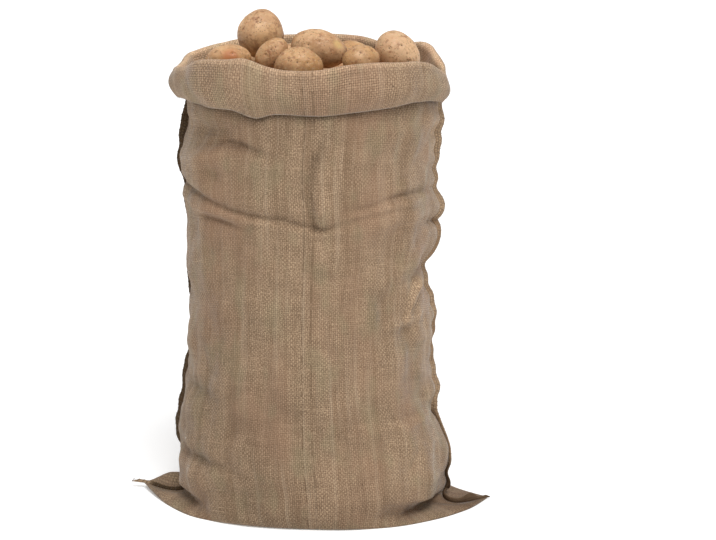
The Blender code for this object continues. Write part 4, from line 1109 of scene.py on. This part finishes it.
def plain_weave(s, warp_place, weft_place):
    """A plain weave's height, 0 in its holes to 1 on its yarns, and where the warp is on top."""
    warp, weft = s.math("FLOOR", warp_place), s.math("FLOOR", weft_place)
    heights = []
    for place, other, line, lead in ((warp_place, weft_place, warp, 1.0),
                                     (weft_place, warp_place, weft, -1.0)):
        slub = s.noise(s.combine(s.times(line, 3.7), s.times(other, 0.22)))
        half = s.math("MULTIPLY_ADD", slub, SLUBS, YARN_HALF_WIDTH - SLUBS / 2)
        aside = s.math("SUBTRACT", s.math("FRACT", place), 0.5)
        share = s.math("DIVIDE", aside, half)
        crown = s.math("SQRT", s.math("SUBTRACT", 1.0, s.times(share, share), clamp=True))
        parity = s.math("MULTIPLY_ADD", s.math("MODULO", line, 2.0), -2.0 * lead, lead)
        rise = s.times(s.math("SINE", s.times(other, math.pi)), parity)
        heights.append(s.times(crown, s.math("MULTIPLY_ADD", rise, 0.4, 0.6)))
    top = s.math("MAXIMUM", *heights)
    return top, s.math("GREATER_THAN", *heights), warp, weft


def woven_surface(s, flat, across, along, warp_pitch, weft_pitch):
    """The weave's height and its yarns' light and dark over a flat place in metres: their own uneven
    shades, with painted shade where the weft is on top.
    """
    warp_place, weft_place = (
        s.math("ADD", s.math("DIVIDE", place, pitch), s.times(s.noise(flat, scale), WAVER))
        for place, pitch, scale in ((across, warp_pitch, 30.0), (along, weft_pitch, 26.0)))
    height, warp_on_top, warp, weft = plain_weave(s, warp_place, weft_place)
    warp_shade = s.noise(s.combine(s.times(warp, 5.3), s.times(along, 40.0)))
    weft_shade = s.noise(s.combine(s.times(across, 40.0), s.times(weft, 4.9)))
    return height, s.mix(warp_on_top, s.math("SUBTRACT", weft_shade, WEFT_PAINTED_SHADE), warp_shade)


def hessian_material():
    """Undyed jute: yarns of uneven thickness and shade, streaked along the warp, with bark in it."""
    s = Shader("hessian cloth", Roughness=0.95, Sheen_Weight=0.32, Sheen_Roughness=0.32,
               Specular_IOR_Level=0.08)
    flat, across, along = s.cloth_place()
    height, shade = woven_surface(s, flat, across, along, WARP_PITCH, WEFT_PITCH)
    shade = s.math("ADD", shade, s.fade(s.noise(flat, 480.0), 0.3, 0.7, -0.26, 0.26))
    colour = s.mix(s.fade(shade, 0.05, 0.8), *JUTE_COLOURS)
    for stretch, scale, detail, *stain in JUTE_STAINS:
        colour = s.stain(colour, s.noise(flat, scale, detail, stretch=stretch), *stain)
    colour = s.mix(warp_lines(s, across, along), colour, (0.14, 0.085, 0.048))
    flecks = s.noise(flat, detail=1.0, stretch=(420.0, 130.0, 1.0))
    colour = s.stain(colour, flecks, 0.735, 0.78, 0.75, (0.085, 0.05, 0.03))
    # Painted shade in the weave's holes, deeper on the cuff and uneven from place to place.
    hole_shade = s.fade(height, 0.05, 0.9, 0.56, 1.05)
    hole_shade = s.math("POWER", hole_shade, s.fade(along, *CUFF_ALONG, 1.0, CUFF_HOLE_SHADE))
    hole_shade_share = s.fade(s.noise(flat, 16.0), 0.35, 0.65, 0.55, 1.0)
    colour = s.mix(hole_shade_share, colour, s.dim(colour, hole_shade))
    # The tone carries the cloth's painted light and shade.
    gain = s.math("MULTIPLY_ADD", s.attribute("tone"), TONE_STRENGTH, 1.0)
    soiling = s.noise(flat, 1.3, detail=3.0, stretch=(26.0, 15.0, 1.0))
    gain = s.math("ADD", gain, s.fade(soiling, 0.34, 0.66, -0.045, 0.05))
    grain = s.math("MULTIPLY_ADD", s.noise(flat, 2600.0), 0.18, height)
    return s.wear(Base_Color=s.dim(colour, gain), Normal=s.bump(grain, 0.0009, 0.9))


def warp_lines(s, across, along):
    """A few darker warp yarns that run up the front panel and show here and there."""
    share = 0.0
    for place, strength in DARK_WARPS:
        near = s.math("ABSOLUTE", s.math("SUBTRACT", across, place))
        breaks = s.noise(s.combine(place * 90, s.times(along, 55.0)), detail=3.0)
        line = s.times(s.fade(near, 0.0006, 0.0018, strength, 0.0), s.fade(breaks, 0.42, 0.55, 0.15, 1.0))
        share = s.math("MAXIMUM", line, share)
    return share


def selvedge_material(side):
    """Doubled jute selvedges: the left one painted dark, as shade, the right one nearly as the panels."""
    s = Shader("jute selvedge, " + side, Roughness=0.95, Specular_IOR_Level=0.05)
    flat, across, along = s.cloth_place()
    height, shade = woven_surface(s, flat, across, along, SELVEDGE_PITCH, SELVEDGE_PITCH)
    dark, pale, soiled = SELVEDGE_COLOURS[side]
    soil = s.noise(flat, detail=3.0, stretch=(30.0, 14.0, 1.0))
    colour = s.stain(s.mix(s.fade(shade, 0.05, 0.8), dark, pale), soil, 0.46, 0.62, 0.7, soiled)
    over_ear, ends_from, ends_at = EAR_COLOURS[side]
    colour = s.mix(s.fade(along, ends_from, ends_at), over_ear, colour)
    # Painted shade in the weave's holes.
    colour = s.dim(colour, s.fade(height, 0.0, 0.8, 0.45, 1.05))
    return s.wear(Base_Color=colour, Normal=s.bump(height, 0.0008, 0.9))


def twine_material(dark=(0.17, 0.105, 0.062), pale=(0.44, 0.31, 0.2)):
    """Twisted jute twine."""
    s = Shader("jute twine", Roughness=0.9, Sheen_Weight=0.3, Specular_IOR_Level=0.15)
    where = s.place()
    strands = s.noise(where, stretch=(900.0, 900.0, 500.0))
    colour = s.mix(s.fade(strands, 0.3, 0.7), dark, pale)
    colour = s.stain(colour, s.noise(where, 26.0), 0.42, 0.62, 0.5, dark)
    return s.wear(Base_Color=colour, Normal=s.bump(strands, 0.0003))


def potato_material():
    """Thin waxy skin over yellow flesh, with mottling, russet, dots, dirt in its eyes, and an underside
    darkened with dirt and painted shade.
    """
    made = bpy.data.materials.get("potato skin")
    if made is not None:
        return made
    s = Shader("potato skin", Specular_IOR_Level=0.38, Subsurface_Weight=0.08, Subsurface_Scale=0.003)
    where, tan = s.place(), s.attribute("tan")
    broad = s.noise(where, 30.0, detail=4.0, roughness=0.6)
    colour = s.mix(s.fade(broad, 0.36, 0.64), (0.49, 0.265, 0.125), (0.7, 0.44, 0.24))
    golden = s.noise(where, 13.0, stretch=(1.0, 1.3, 0.8))
    colour = s.stain(colour, golden, 0.46, 0.66, 0.6, (0.61, 0.35, 0.14))
    colour = s.stain(colour, tan, 0.0, 1.0, 0.75, (0.44, 0.225, 0.085))
    colour = s.stain(colour, tan, 0.0, -1.0, 0.55, (0.78, 0.52, 0.31))
    russet = s.noise(where, 105.0, detail=5.0, roughness=0.7)
    colour = s.stain(colour, russet, 0.5, 0.66, 0.62, (0.37, 0.19, 0.088))
    scurf = s.noise(where, 210.0, detail=3.0, stretch=(1.0, 1.0, 2.2))
    colour = s.stain(colour, scurf, 0.56, 0.7, 0.45, (0.74, 0.53, 0.34))
    chosen = s.noise(where, 75.0, detail=1.0)
    speck = 0.0
    for scale, size, low in ((120.0, 0.15, 0.49), (260.0, 0.2, 0.44)):
        cells = s.node("ShaderNodeTexVoronoi", {"Vector": where, "Scale": scale}, feature="F1")
        dots = s.times(s.fade(cells, size * 0.6, size * 1.4, 1.0, 0.0), s.fade(chosen, low, low + 0.08))
        speck = s.math("MAXIMUM", dots, speck)
    colour = s.mix(s.times(speck, 0.75), colour, (0.19, 0.09, 0.038))
    for scale, low in ((125.0, 0.605), (62.0, 0.64)):
        colour = s.stain(colour, s.noise(where, scale), low, low + 0.06, 0.6, (0.29, 0.13, 0.06))
    # Darker on the underside, with dirt and painted shade.
    soil = s.times(s.attribute("soil"), s.fade(russet, 0.3, 0.62, 0.35, 1.0))
    colour = s.mix(soil, colour, (0.19, 0.092, 0.036))
    colour = s.stain(colour, s.attribute("blush"), 0.1, 0.9, 0.85, (0.52, 0.19, 0.07))
    colour = s.stain(colour, s.attribute("scuff"), 0.1, 0.9, 0.7, (0.72, 0.51, 0.21))
    colour = s.stain(colour, s.attribute("eye"), 0.3, 0.9, 0.8, (0.13, 0.058, 0.024))
    height = s.math("MULTIPLY_ADD", russet, 0.7, s.times(speck, -0.6))
    return s.wear(Base_Color=colour, Roughness=s.fade(russet, 0.4, 0.7, 0.46, 0.72),
                  Normal=s.bump(height, 0.0006, 0.8))


# ---- the scene ----

def make_floor():
    """A wide pale floor that fills the view behind the sack."""
    mesh = bmesh.new()
    bmesh.ops.create_grid(mesh, x_segments=8, y_segments=8, size=30.0)
    s = Shader("studio floor", Roughness=0.9, Specular_IOR_Level=0.1, Base_Color=FLOOR_COLOUR,
               Emission_Color=WHITE, Emission_Strength=FLOOR_GLOW)
    floor = mesh_object(mesh, "floor", s.material)


def make_studio():
    """Even white light all round, and a broad soft light from high in front."""
    world = bpy.data.worlds.new("studio")
    world.use_nodes = True
    sky = world.node_tree.nodes["Background"]
    sky.inputs["Color"].default_value = WHITE
    sky.inputs["Strength"].default_value = SKY_STRENGTH
    bpy.context.scene.world = world
    light = bpy.data.lights.new("key", "SUN")
    light.energy = KEY_STRENGTH
    light.angle = KEY_SPREAD
    key = add_object("key", light)
    key.rotation_euler = Vector(KEY_FROM).to_track_quat("Z", "Y").to_euler()
    bpy.context.scene.view_settings.view_transform = "Standard"


def make_camera():
    camera = bpy.data.cameras.new("camera")
    camera.sensor_width = 36.0
    camera.lens = CAMERA_LENS
    camera.clip_end = 100.0
    made = add_object("camera", camera)
    made.location = CAMERA_PLACE
    made.rotation_euler = (math.radians(90 - CAMERA_DOWN), 0.0, math.radians(CAMERA_LEFT))
    bpy.context.scene.camera = made


def main():
    make_camera()
    make_studio()
    make_floor()
    rows = cloth_rows(even_turns(COLUMNS))
    cloth = make_cloth(rows)
    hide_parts("sack_cloth")
    trims = [make_hem_stitches(rows), make_loose_fibres(rows)]
    for side in SEAM_LEANS:
        seam = make_seam(side, rows)
        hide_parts("side_seam_" + side)
        trims += [seam, make_overcast(side, rows)]
    names = sorted(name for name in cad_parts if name[:-2] == "potato_")
    potatoes = [make_potato(node, number) for number, node in enumerate(names)]
    lower = make_lower_layer(potatoes)


main()
